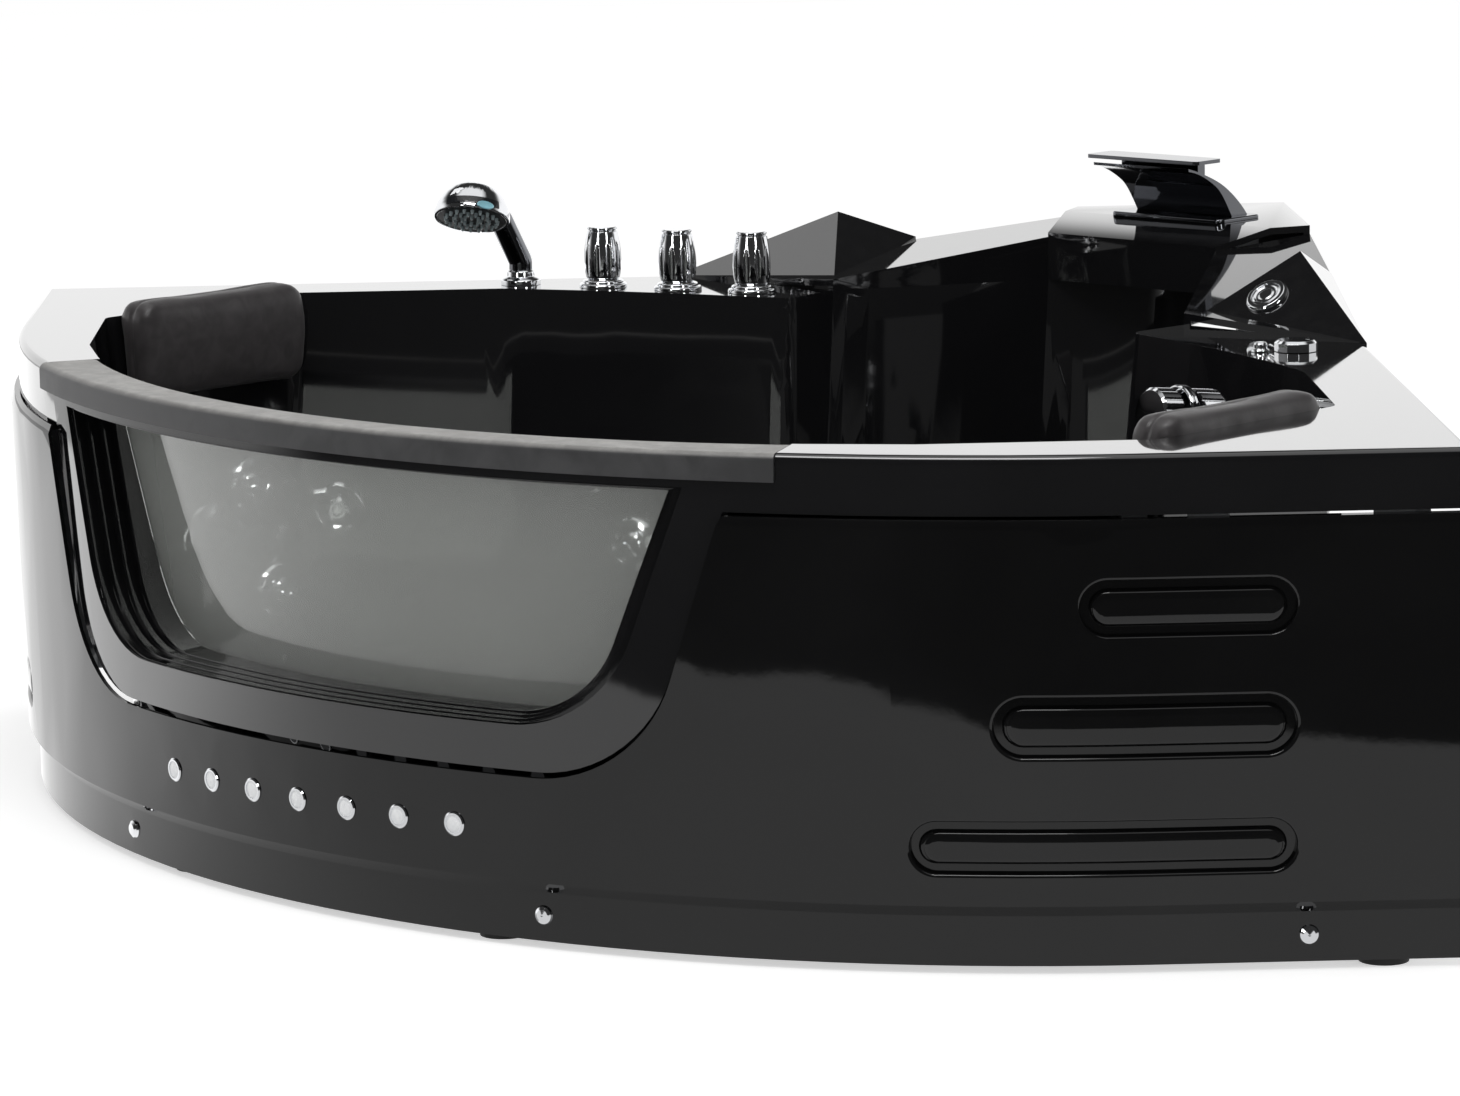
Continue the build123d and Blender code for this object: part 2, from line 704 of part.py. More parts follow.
with BuildPart() as tap_flanges:
    with Locations([(x, y, deck_height) for x, y in tap_places]):
        add(turned((deck_hole - 0.2, 0), (28.5, 0), (28.5, 3.5), (27.5, 5), (24.5, 5.3),
                   (24.5, 7.7), (23, flange_high), (deck_hole - 0.2, flange_high)))
finish(tap_flanges, "tap_flanges")

with BuildPart() as tap_valves:
    with Locations([(x, y, deck_height) for x, y in tap_places]):
        add(turned((0, -62), (12, -62), (12, -45), (deck_hole - 0.4, -42),
                   (deck_hole - 0.4, flange_high - 1), (spindle, flange_high - 1),
                   (spindle, 42), (0, 42)))
        add(turned((deck_hole - 0.4, -wall - nut_high), (23, -wall - nut_high), (23, -wall),
                   (deck_hole - 0.4, -wall)))
finish(tap_valves, "tap_valves")

tap_names = ("tap_handle_hot", "tap_handle_diverter", "tap_handle_cold")
for name, (x, y) in zip(tap_names, tap_places):
    with BuildPart() as tap_handle:
        with Locations((x, y, deck_height)):
            add(turned((spindle_bore, 44), (spindle_bore, flange_high + tap_clear),
                       (19, flange_high + tap_clear), (20.5, 13), (22.3, 21), (22.9, 32),
                       (22.2, 44), (20.2, 58), (18.6, tap_top - 5.5), (17.2, tap_top - 5),
                       (17.2, tap_top - 3.5), (18.4, tap_top - 3), (18.2, tap_top - 0.8),
                       (17.4, tap_top), (0, tap_top), (0, 44)))
            with PolarLocations(26.5, 10):
                Cylinder(5.6, tap_top - 8, mode=Mode.SUBTRACT,
                         align=(Align.CENTER, Align.CENTER, Align.MIN))
    finish(tap_handle, name)

# Waterfall spout on the plateau: base plate, wide blade arched over towards the basin
spout_plane = Plane(origin=(corner, corner, 0), x_dir=(-1, -1, 0), z_dir=(-1, 1, 0))
base_half = 84.0
base_back = 150.0
base_front = 228.0
base_high = 5.0
base_over = plateau_top + base_high


def spout_point(from_corner, across):
    """Plan point from its distance along the diagonal and across it."""
    s = from_corner / sqrt(2)
    t = across / sqrt(2)
    return (corner - s + t, corner - s - t)


with BuildPart() as spout_base:
    with BuildSketch(Plane.XY.offset(plateau_top)) as base_plan:
        with BuildLine():
            Polyline(*[spout_point(u, t) for u, t in (
                (base_back, -base_half), (base_front, -base_half), (base_front, base_half),
                (base_back, base_half))], close=True)
        make_face()
        fillet(base_plan.vertices(), 9)
    extrude(amount=base_high)
    fillet(spout_base.edges().group_by(Axis.Z)[-1], 2)
finish(spout_base, "spout_base")

blade_half = 72.0
lip_front = 272.0            # along the diagonal from the corner
lip_back = 224.0
lip_low = 659.5              # the top plate's underside; the water leaves below it
lip_high = 664.0
with BuildPart() as waterfall_spout:
    with BuildSketch(spout_plane):
        with BuildLine():
            foot_back, foot_front = (162, base_over), (191, base_over)
            tip_high, tip_low = (lip_front, lip_low - 4.5), (lip_front - 0.5, lip_low - 8)
            Spline(foot_back, (173, 604), (188, 617), (207, 630), (230, 641), (255, 650),
                   tip_high)
            Line(tip_high, tip_low)
            Spline(tip_low, (250, 645.5), (229, 635), (216, 626), (207, 616), (198, 603),
                   foot_front)
            Line(foot_front, foot_back)
        make_face()
    extrude(amount=blade_half, both=True)
    with BuildSketch(spout_plane):
        Polygon((lip_back, 637), (lip_back + 13, 643), (lip_back + 13, lip_high),
                (lip_back, lip_high), align=None)
    extrude(amount=blade_half - 14, both=True)
    with BuildSketch(Plane.XY.offset(lip_low)) as lip_plan:
        with BuildLine():
            Polyline(*[spout_point(u, t) for u, t in (
                (lip_back, -base_half), (lip_front, -base_half), (lip_front, base_half),
                (lip_back, base_half))], close=True)
        make_face()
        fillet(lip_plan.vertices(), 6)
    extrude(amount=lip_high - lip_low)
finish(waterfall_spout, "waterfall_spout")

with BuildPart() as spout_shank:
    with Locations((spout_middle, spout_middle, plateau_top)):
        add(turned((0, 0), (0, -44), (10, -44), (spout_hole - 0.4, -40), (spout_hole - 0.4, 0)))
        add(turned((spout_hole - 0.4, -wall), (27, -wall), (27, -wall - nut_high),
                   (spout_hole - 0.4, -wall - nut_high)))
finish(spout_shank, "spout_shank")

# Push button in its ring, on the near face of the pyramid at the right
button_travel = 3.0
button_radius = 17.3
ring_radius = 24.5
ring_high = 6.0
stem_radius = 8.0
with BuildPart() as button_ring:
    with Locations(button_plane):
        add(turned((button_radius + 0.1, 0), (ring_radius, 0), (ring_radius, 3),
                   (ring_radius - 2.5, ring_high), (button_radius + 0.1, ring_high)))
finish(button_ring, "button_ring")

with BuildPart() as air_button:
    with Locations(button_plane):
        add(turned((0, -14), (stem_radius, -14), (stem_radius, button_travel + 0.3),
                   (button_radius, button_travel + 0.3), (button_radius, ring_high - 0.8),
                   (button_radius - 3, ring_high), (button_radius - 5, ring_high - 1.4),
                   (button_radius - 8, ring_high - 1.4), (button_radius - 9.5, ring_high - 0.2),
                   (0, ring_high - 0.2)))
finish(air_button, "air_button")

shell_across = wall * abs(pyramid_face.z_dir.Z)
with BuildPart() as button_body:
    with Locations(button_plane):
        add(turned((stem_radius + 0.05, 0), (button_hole - 0.4, 0), (button_hole - 0.4, -34),
                   (5, -34), (5, -44), (0, -44), (0, -22), (stem_radius + 0.05, -22)))
        add(turned((button_hole - 0.4, -shell_across), (27, -shell_across),
                   (27, -shell_across - nut_high), (button_hole - 0.4, -shell_across - nut_high)))
finish(button_body, "button_body")

# Air control knob on the deck
knob_radius = 23.4
knob_high = 12.0
with BuildPart() as air_knob:
    with BuildSketch(Plane(origin=(*air_knob_place, deck_height + 0.5))):
        RegularPolygon(knob_radius, 12)
    extrude(amount=knob_high)
    chamfer(air_knob.edges().group_by(Axis.Z)[-1], 3)
    with Locations((*air_knob_place, deck_height + 0.5)):
        Cylinder(spindle_bore, 9, mode=Mode.SUBTRACT,
                 align=(Align.CENTER, Align.CENTER, Align.MIN))
    with Locations((air_knob_place[0] + 13, air_knob_place[1], deck_height + knob_high + 0.5)):
        Sphere(2, mode=Mode.SUBTRACT)
finish(air_knob, "air_knob")

with BuildPart() as air_valve:
    with Locations((*air_knob_place, deck_height)):
        add(turned((0, -48), (7, -48), (7, -34), (deck_hole - 0.4, -32), (deck_hole - 0.4, 0),
                   (spindle, 0), (spindle, 9), (0, 9)))
        add(turned((deck_hole - 0.4, -wall - nut_high), (23, -wall - nut_high), (23, -wall),
                   (deck_hole - 0.4, -wall)))
finish(air_valve, "air_valve")

# Small cap over the air line's bleed, beside the knob
with BuildPart() as bleed_cap:
    with Locations((*bleed_place, deck_height)):
        add(turned((0, -wall - 6), (bleed_hole - 0.3, -wall - 6), (bleed_hole - 0.3, 0),
                   (10, 0), (10, 2.5), (7.5, 4), (7.5, 9), (5.5, 11), (0, 11.6)))
finish(bleed_cap, "bleed_cap")

# Waste: flange, lifting plug, trap and its outlet pipe along the floor
pipe_radius = 20.0
pipe_bore = 17.0
pipe_height = 34.0
outlet_y = -12.0
outlet_x = corner - 3.5
plug_lift = 12.0
sleeve = drain_hole - 0.3
drain_low = basin_floor - 30.0
with BuildPart() as drain_flange:
    with Locations((*drain_place, basin_floor)):
        add(turned((22.5, -30), (sleeve, -30), (sleeve, 0), (35, 0), (34, 2.5), (26, 3),
                   (24.5, -3), (22.5, -6)))
        add(turned((sleeve, -wall), (33, -wall), (33, -wall - nut_high),
                   (sleeve, -wall - nut_high)))
finish(drain_flange, "drain_flange")

with BuildPart() as drain_plug:
    with Locations((*drain_place, basin_floor)):
        add(turned((0, -26), (5, -26), (5, -4), (23.4, -4), (24.2, 1), (23, 3.5), (8, 5.5),
                   (0, 5.8)))
finish(drain_plug, "drain_plug")

with BuildPart() as drain_trap:
    with Locations((*drain_place, pipe_height)):
        Cylinder(40, 2 * (drain_low - pipe_height))
    pipe_start = (drain_place[0], drain_place[1], pipe_height)
    with BuildLine() as pipe_line:
        FilletPolyline(pipe_start, (60, outlet_y, pipe_height),
                       (outlet_x, outlet_y, pipe_height), radius=60)
    pipe_plane = Plane(origin=pipe_start, z_dir=pipe_line.line @ 0.01 - Vector(*pipe_start))
    with BuildSketch(pipe_plane):
        Circle(pipe_radius)
    sweep()
    with Locations((*drain_place, drain_low)):
        Cylinder(35, 2 * (drain_low - pipe_height) - 6, mode=Mode.SUBTRACT,
                 align=(Align.CENTER, Align.CENTER, Align.MAX))
    with Locations(Plane(origin=(outlet_x, outlet_y, pipe_height), z_dir=(1, 0, 0))):
        Cylinder(pipe_bore, 60, mode=Mode.SUBTRACT,
                 align=(Align.CENTER, Align.CENTER, Align.MAX))
finish(drain_trap, "drain_trap")

# Overflow: turning drum on a flange in the basin's right wall, and the pipe behind it
overflow_down = 650.0
overflow_pipe_radius = 16.0
drum_radius = 32.5
with BuildPart() as overflow_flange:
    with Locations(overflow_plane):
        add(turned((0, -wall_across - 30), (overflow_hole - 0.4, -wall_across - 30),
                   (overflow_hole - 0.4, 0.5), (36, 0.5), (36, 4), (34, 6), (26, 6), (26, 5),
                   (spindle, 5), (spindle, 30), (0, 30)))
        add(turned((overflow_hole - 0.4, -wall_across - 0.6), (32, -wall_across - 0.6),
                   (32, -wall_across - 9), (overflow_hole - 0.4, -wall_across - 9)))
finish(overflow_flange, "overflow_flange")

with BuildPart() as overflow_knob:
    with Locations(overflow_plane):
        add(turned((spindle_bore, 12), (drum_radius - 2, 12), (drum_radius, 14),
                   (drum_radius, 36), (drum_radius - 3, 39), (0, 40), (0, 31),
                   (spindle_bore, 31)))
        with Locations((0, 0, 12)):
            with PolarLocations(drum_radius + 1.5, 16):
                Cylinder(3, 40, mode=Mode.SUBTRACT,
                         align=(Align.CENTER, Align.CENTER, Align.MIN))
finish(overflow_knob, "overflow_knob")

overflow_back = overflow_plane.origin - overflow_plane.z_dir * (wall_across + 30)
knee_reach = (overflow_back.X - overflow_down) / overflow_plane.z_dir.X
pipe_knee = overflow_back - overflow_plane.z_dir * knee_reach
with BuildPart() as overflow_pipe:
    with BuildLine():
        FilletPolyline(overflow_back, pipe_knee, (overflow_down, outlet_y, pipe_height + 8),
                       radius=18)
    with BuildSketch(Plane(origin=overflow_back, z_dir=pipe_knee - overflow_back)):
        Circle(overflow_pipe_radius)
    sweep()
    add(drain_trap.part, mode=Mode.SUBTRACT)
finish(overflow_pipe, "overflow_pipe")

# Suction cover and the body behind it
with BuildPart() as suction_cover:
    with Locations(suction_plane):
        add(turned((0, 4), (30, 4), (44, 0.2), (50, 0.2), (50, 3), (46, 6), (30, 9), (0, 10)))
        with Locations((0, 0, -2)):
            for ring, count in ((9, 6), (18, 12), (27, 18), (36, 24)):
                with PolarLocations(ring, count):
                    Cylinder(2.4, 16, mode=Mode.SUBTRACT,
                             align=(Align.CENTER, Align.CENTER, Align.MIN))
finish(suction_cover, "suction_cover")

with BuildPart() as suction_body:
    with Locations(suction_plane):
        add(turned((0, -52), (suction_hole - 0.4, -52), (suction_hole - 0.4, 0.2), (32, 0.2),
                   (32, -44), (0, -44)))
        add(turned((suction_hole - 0.4, -wall_across), (47, -wall_across),
                   (47, -wall_across - nut_high), (suction_hole - 0.4, -wall_across - nut_high)))
finish(suction_body, "suction_body")

# Water jets: flange, body behind the wall, and a nozzle that turns in the body
jet_lift = 0.5               # flat flanges stand clear of the curved walls
nozzle_radius = 17.0
nozzle_stem = 12.0
with BuildPart() as jet_rings:
    with Locations(*jet_planes):
        add(turned((nozzle_radius + 1.5, jet_lift), (33, jet_lift), (33, 3), (30, 6), (24, 7.5),
                   (nozzle_radius + 1.5, 5)))
finish(jet_rings, "jet_rings")

with BuildPart() as jet_bodies:
    with Locations(*jet_planes):
        add(turned((0, -50), (12, -50), (12, -40), (jet_hole - 0.4, -36),
                   (jet_hole - 0.4, jet_lift), (nozzle_stem + 0.05, jet_lift),
                   (nozzle_stem + 0.05, -20), (0, -20)))
        add(turned((jet_hole - 0.4, -wall_across - 0.6), (31, -wall_across - 0.6),
                   (31, -wall_across - 9), (jet_hole - 0.4, -wall_across - 9)))
finish(jet_bodies, "jet_bodies")

nozzle = turned((0, -18), (nozzle_stem, -18), (nozzle_stem, 1), (nozzle_radius, 1),
                (nozzle_radius, 5), (nozzle_radius - 2, 9), (11, 12), (8, 12), (6, 3), (0, 3))
with BuildPart() as ribbed_nozzle:
    add(nozzle)
    with Locations((0, 0, 12)):
        with PolarLocations(nozzle_radius - 3.5, 3):
            Cylinder(1.8, 4, align=(Align.CENTER, Align.CENTER, Align.MAX),
                     mode=Mode.SUBTRACT)
for number, place in enumerate(jet_planes, 1):
    with BuildPart() as jet_nozzle:
        with Locations(place):
            add(ribbed_nozzle.part)
    finish(jet_nozzle, f"jet_nozzle_{number}")

with BuildPart() as air_jets:
    with Locations(*small_jet_planes):
        add(turned((3, -wall_across - 22), (small_jet_hole - 0.3, -wall_across - 22),
                   (small_jet_hole - 0.3, 0.3), (15, 0.3), (15, 1.5), (12, 4), (6, 5), (3, 3.5)))
finish(air_jets, "air_jets")

# Lights in the apron, screws through its base band and the brackets behind them
with BuildPart() as led_rings:
    with Locations(*led_planes):
        add(turned((9.3, -9), (led_hole - 0.3, -9), (led_hole - 0.3, 0.1), (12.5, 0.1),
                   (12.5, 1), (11, 2.2), (9.3, 2.2)))
finish(led_rings, "led_rings")

with BuildPart() as led_lenses:
    with Locations(*led_planes):
        add(turned((0, -7), (9.3, -7), (9.3, 1), (6, 2.1), (0, 2.6)))
finish(led_lenses, "led_lenses")

screw_length = 18.0
with BuildPart() as apron_screws:
    with Locations(*screw_planes):
        add(turned((0, -screw_length), (3, -screw_length), (3, 0), (10, 0), (9, 2.4), (6, 4.4),
                   (0, 5.2)))
finish(apron_screws, "apron_screws")

# Support frame: square tubes under the basin, posts up to the deck, and plates for the pumps
tube = 25.0
tube_wall = 2.0
frame_top = basin_floor - wall
frame_low = frame_top - tube
frame_side = corner - 50.5
foot_along = 674.0
knee = (430.0, front + 39.5)
end_post = (frame_side, knee[1])
outriggers = [front_point(rim_radius - 30.0, a) for a in screw_angles]
cross_far = (150.0, 635.0)
cross_near = (-220.0, 471.0)
loop = [end_post, (frame_side, frame_side), swapped(end_post), swapped(knee),
        outriggers[0], outriggers[1], knee]
bars = list(zip(loop, loop[1:] + loop[:1]))
for at, reach in (cross_far, cross_near):
    bars += [((frame_side, at), (-reach, at)), ((at, frame_side), (at, -reach))]
posts = [(*end_post, deck_under), (*swapped(end_post), deck_under), (*knee, deck_under),
         (*swapped(knee), deck_under), (frame_side, frame_side, plateau_top - wall)]
chord = (outriggers[1][0] - outriggers[0][0]) * 0.12
feet = [(foot_along, knee[1]), (knee[1], foot_along), (frame_side, frame_side),
        (outriggers[0][0] + chord, outriggers[0][1] - chord),
        (outriggers[1][0] - chord, outriggers[1][1] + chord)]
stud_radius = 6.0
plate = 4.0
plate_top = frame_top + plate
blower_place = (700.0, 330.0)
control_place = (frame_side, -330.0)


def tubing(inset):
    """All the bars and posts of the frame, thinner by inset on every side."""
    side = tube - 2 * inset
    with BuildPart() as made:
        for (ax, ay), (bx, by) in bars:
            turn = degrees(atan2(by - ay, bx - ax))
            with Locations(Location(((ax + bx) / 2, (ay + by) / 2, frame_low + tube / 2),
                                    (0, 0, turn))):
                Box(hypot(bx - ax, by - ay) + side, side, side)
        for x, y, top in posts:
            with Locations((x, y, frame_low + inset)):
                Box(side, side, top - frame_low - 2 * inset,
                    align=(Align.CENTER, Align.CENTER, Align.MIN))
    return made.part


with BuildPart() as support_frame:
    add(tubing(0))
    add(tubing(tube_wall), mode=Mode.SUBTRACT)
    with BuildSketch(Plane.XY.offset(frame_top)):
        with BuildLine():
            Polyline((500, 717), (717, 717), (717, 500), (640, 500), (500, 640), close=True)
        make_face()
        with Locations(blower_place):
            Rectangle(90, 100)
        with Locations(control_place):
            Rectangle(70, 140)
    extrude(amount=plate)
    with Locations([(x, y, frame_low) for x, y in feet]):
        Cylinder(stud_radius + small_gap, tube_wall, mode=Mode.SUBTRACT,
                 align=(Align.CENTER, Align.CENTER, Align.MIN))
finish(support_frame, "support_frame")

on_floor = [(x, y, 0) for x, y in feet]
with BuildPart() as foot_pads:
    with Locations(on_floor):
        add(turned((0, 0), (25, 0), (25, 7), (20, 12), (13, 15), (stud_radius + 0.1, 15),
                   (stud_radius + 0.1, 5), (0, 5)))
finish(foot_pads, "foot_pads")

with BuildPart() as foot_studs:
    with Locations(on_floor):
        add(turned((0, 5), (stud_radius, 5), (stud_radius, frame_low + 16),
                   (0, frame_low + 16)))
finish(foot_studs, "foot_studs")

with BuildPart() as foot_nuts:
    with BuildSketch(Plane.XY.offset(frame_low - 10)):
        with Locations(feet):
            RegularPolygon(11, 6)
            Circle(stud_radius + 0.1, mode=Mode.SUBTRACT)
    extrude(amount=10)
finish(foot_nuts, "foot_nuts")

bracket = 3.0
bracket_in = apron_sheet + small_gap
with BuildPart() as apron_brackets:
    for place in screw_planes:
        up = frame_low - screw_height
        with Locations(place):
            with Locations((0, up, -bracket_in)):
                Box(30, up + 12, bracket, align=(Align.CENTER, Align.MAX, Align.MAX))
                Box(30, bracket, 36, align=(Align.CENTER, Align.MAX, Align.MAX))
            Cylinder(3.1, 40, mode=Mode.SUBTRACT)
finish(apron_brackets, "apron_brackets")

clip_places = [facing_out((x, front), (0, -1), lip_top) for x in (500.0, 680.0)]
clip_places += [mirrored(p) for p in clip_places]
with BuildPart() as apron_clips:
    for place in clip_places:
        with Locations(place):
            with Locations((0, -11, -wall)):
                Box(40, 50, 8, align=(Align.CENTER, Align.MIN, Align.MAX))
            with Locations((0, 0, -6)):
                Box(40, 5, 6, align=(Align.CENTER, Align.MAX, Align.MAX))
finish(apron_clips, "apron_clips")

# Pump across the rear corner, its pipes, the air blower and the control box
pump_height = plate_top + 62.0
pump_middle = corner - 116.7
pump_split = -40.0
pump_plane = Plane(origin=(pump_middle, pump_middle, pump_height), x_dir=(1, 1, 0),
                   z_dir=(1, -1, 0))
with BuildPart() as pump_motor:
    with Locations(pump_plane):
        add(turned((0, pump_split), (40, pump_split), (46, -30), (50, -24), (50, 70), (54, 70),
                   (54, 94), (48, 100), (0, 100)))
        with Locations((0, 0, -22)):
            with PolarLocations(50, 18):
                Box(6, 3, 90, align=(Align.CENTER, Align.CENTER, Align.MIN))
    with Locations(Location((pump_middle + 21, pump_middle - 21, plate_top), (0, 0, -45))):
        Box(80, 76, 24, align=(Align.CENTER, Align.CENTER, Align.MIN))
finish(pump_motor, "pump_motor")

port_place = (pump_middle - 49.5, pump_middle + 49.5)
suction_pipe_radius = 18.0
feed_radius = 14.0
suction_level = pump_height - 18
with BuildPart() as pump_head:
    with Locations(pump_plane):
        add(turned((0, -100), (34, -100), (52, -92), (60, -82), (60, -52), (52, -44),
                   (40, pump_split), (0, pump_split)))
    with Locations((*port_place, pump_height)):
        Cylinder(18, 78, align=(Align.CENTER, Align.CENTER, Align.MIN))
    with Locations(Plane(origin=(*port_place, suction_level), z_dir=(-1, 0, 0))):
        Cylinder(22, 80, align=(Align.CENTER, Align.CENTER, Align.MIN))
finish(pump_head, "pump_head")

feed_level = pump_height + 114
feed_line = corner - 39.5
suction_end = suction_plane.origin - suction_plane.z_dir * 52
suction_knee = suction_end - suction_plane.z_dir * 70
with BuildPart() as water_pipe:
    with BuildLine():
        FilletPolyline((*port_place, pump_height + 78), (*port_place, feed_level),
                       (540, feed_line, feed_level), (-600, feed_line, feed_level), radius=20)
    with BuildSketch(Plane.XY.offset(pump_height + 78)):
        with Locations(port_place):
            Circle(feed_radius)
    sweep()
    with BuildLine():
        FilletPolyline((port_place[0] - 80, port_place[1], suction_level),
                       (suction_knee.X, port_place[1], suction_level), suction_knee,
                       suction_end, radius=22)
    with BuildSketch(Plane(origin=(port_place[0] - 80, port_place[1], suction_level),
                           z_dir=(-1, 0, 0))):
        Circle(suction_pipe_radius)
    sweep()
finish(water_pipe, "water_pipe")

with BuildPart() as air_blower:
    with Locations((*blower_place, plate_top)):
        add(turned((0, 0), (40, 0), (40, 30), (44, 36), (44, 92), (36, 104), (14, 108),
                   (14, 130), (0, 130)))
finish(air_blower, "air_blower")

with BuildPart() as control_box:
    with Locations((*control_place, plate_top)):
        Box(60, 120, 90, align=(Align.CENTER, Align.CENTER, Align.MIN))
    fillet(control_box.edges().filter_by(Axis.Z), 6)
    fillet(control_box.edges().group_by(Axis.Z)[-1], 3)
finish(control_box, "control_box")
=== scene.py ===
"""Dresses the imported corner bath: finishes, headrests, small trim, studio and camera."""
import json
from math import cos, radians, sin

import bpy
from bpy.props import FloatProperty, FloatVectorProperty, IntProperty, PointerProperty
from mathutils import Matrix, Vector

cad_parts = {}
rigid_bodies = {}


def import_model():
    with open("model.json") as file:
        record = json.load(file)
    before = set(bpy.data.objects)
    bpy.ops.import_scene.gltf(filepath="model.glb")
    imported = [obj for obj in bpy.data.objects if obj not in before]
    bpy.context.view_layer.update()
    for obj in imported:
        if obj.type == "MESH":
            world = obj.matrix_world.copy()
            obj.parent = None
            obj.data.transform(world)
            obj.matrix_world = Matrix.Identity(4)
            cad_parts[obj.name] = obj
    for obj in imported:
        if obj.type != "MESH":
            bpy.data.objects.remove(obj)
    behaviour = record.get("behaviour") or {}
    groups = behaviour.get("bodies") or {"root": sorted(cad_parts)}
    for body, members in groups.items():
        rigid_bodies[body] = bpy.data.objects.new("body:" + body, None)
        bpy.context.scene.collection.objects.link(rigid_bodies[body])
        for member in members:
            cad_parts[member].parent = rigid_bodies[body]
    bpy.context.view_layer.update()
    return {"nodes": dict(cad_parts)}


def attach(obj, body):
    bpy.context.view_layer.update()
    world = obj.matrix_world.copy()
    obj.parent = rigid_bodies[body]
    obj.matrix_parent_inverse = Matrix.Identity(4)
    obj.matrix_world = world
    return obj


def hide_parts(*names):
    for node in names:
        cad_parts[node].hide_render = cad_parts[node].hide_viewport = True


bl_info = {
    "name": "Corner Bath",
    "version": (1, 0, 0),
    "blender": (4, 5, 0),
    "location": "View3D > Sidebar > Bath",
    "description": "Finishes the packed corner bath and sets it in a plain studio",
    "category": "Object",
}

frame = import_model()


# Where each long slot beside the window starts, and its lower and upper edge
slot_places = ((0.3735, 0.337, 0.392), (0.2895, 0.218, 0.277), (0.2085, 0.102, 0.154))


def colour(label, text, value):
    """A colour property."""
    return FloatVectorProperty(name=label, description=text, default=value, size=3,
                               subtype="COLOR", min=0.0, max=1.0)


def length(label, text, value):
    """A length property, in metres."""
    return FloatProperty(name=label, description=text, default=value, min=0.0, unit="LENGTH",
                         precision=4)


def amount(label, text, value, low=0.0, high=1.0):
    """A plain number property."""
    return FloatProperty(name=label, description=text, default=value, min=low, max=high)


class BathFinishes(bpy.types.PropertyGroup):
    """Colours and gloss of the bath's surfaces"""
    acrylic: colour("Acrylic", "Moulded shell and apron", (0.0065, 0.0065, 0.0072))
    acrylic_roughness: amount("Acrylic roughness", "Polish of the shell", 0.035)
    panel: colour("Panel", "Pressed apron under the rim", (0.0042, 0.0042, 0.0044))
    panel_roughness: amount("Panel roughness", "Polish of the apron", 0.02)
    frame_black: colour("Window frame", "Stepped frame around the glass", (0.005, 0.005, 0.0055))
    rail: colour("Rail", "Padded rail over the window", (0.055, 0.055, 0.057))
    pad: colour("Headrests", "Skin of the headrests", (0.046, 0.042, 0.0435))
    chrome: colour("Chrome", "Bright plated fittings", (0.80, 0.81, 0.83))
    dark_chrome: colour("Dark chrome", "Spout and shower handle", (0.20, 0.205, 0.22))
    glass: colour("Glass", "Tint of the window", (0.76, 0.78, 0.75))
    steel: colour("Frame paint", "Tubes under the bath", (0.30, 0.31, 0.32))
    plastic: colour("Plumbing plastic", "Trap and pump head", (0.40, 0.41, 0.42))
    blue_tab: colour("Spray tab", "Small tab on the hand shower", (0.30, 0.62, 0.72))


class BathShapes(bpy.types.PropertyGroup):
    """Small sizes that the render adds to the solids"""
    shell_round: length("Shell rounding", "Rounding of the shell's edges", 0.0035)
    apron_round: length("Apron rounding", "Rounding of the apron's edges", 0.0022)
    rail_round: length("Rail rounding", "Rounding of the rail's edges", 0.003)
    trim_round: length("Trim rounding", "Rounding of small trim", 0.0006)
    slot_end: length("Slot end", "Where the long slots end, from the bath's middle", 0.5835)
    pill_margin: length("Pill margin", "Groove between a slot's edge and its pill", 0.009)
    pill_crown: length("Pill crown", "How far a pill's middle stands over its edges", 0.0027)
    pad_voxel: length("Pad voxel", "Size of the voxels of the headrests' mesh", 0.005)
    pad_swell: length("Pad swell", "Most that a headrest's skin swells", 0.0022)
    pad_steps: IntProperty(name="Pad steps", description="Steps of the headrests' simulation",
                           default=20, min=1, max=60)
    seam_depth: length("Seam depth", "How far a headrest's seam is drawn in", 0.0013)
    seam_level: length("Seam level", "How far the seam lies from the basin's wall", 0.031)
    tab_width: length("Tab width", "Width of the spray tab", 0.021)


class BathStudio(bpy.types.PropertyGroup):
    """Camera and light"""
    lens: FloatProperty(name="Lens", description="Focal length", default=143.79, min=10.0,
                        max=500.0, unit="CAMERA")
    place: FloatVectorProperty(name="Camera place", description="Where the camera stands",
                               default=(-0.10498, -6.2628, 1.36583), size=3,
                               subtype="TRANSLATION", unit="LENGTH")
    yaw: FloatProperty(name="Yaw", description="Camera's turn about the vertical",
                       default=-0.0259, subtype="ANGLE")
    pitch: FloatProperty(name="Pitch", description="How far the camera looks down",
                         default=0.1678, subtype="ANGLE")
    roll: FloatProperty(name="Roll", description="Camera's turn about its own axis",
                        default=-0.0174, subtype="ANGLE")
    floor: colour("Floor", "Colour of the studio floor", (0.82, 0.82, 0.82))
    floor_glow: amount("Floor glow", "Light added to the floor for the eye alone", 0.55)
    near_level: amount("Near level", "Brightness of the white part of the floor in gloss", 0.72)
    far_level: amount("Far level", "Brightness of the outer floor in gloss", 0.05)
    back_level: amount("Back level", "Brightness added in gloss to the floor behind", 0.6)
    white_reach: length("White reach", "How far out the floor still looks white in gloss", 1.98)
    dark_level: amount("Dark level", "Brightness of the dark part of the room in gloss", 0.03)
    wall_level: amount("Wall level", "Brightness of the wall behind in gloss", 1.1, high=5.0)
    ceiling_level: amount("Ceiling level", "Brightness of the ceiling in gloss", 0.9, high=5.0)
    soft_level: amount("Soft level", "Even light on matt surfaces", 0.55, high=5.0)


# Node helpers

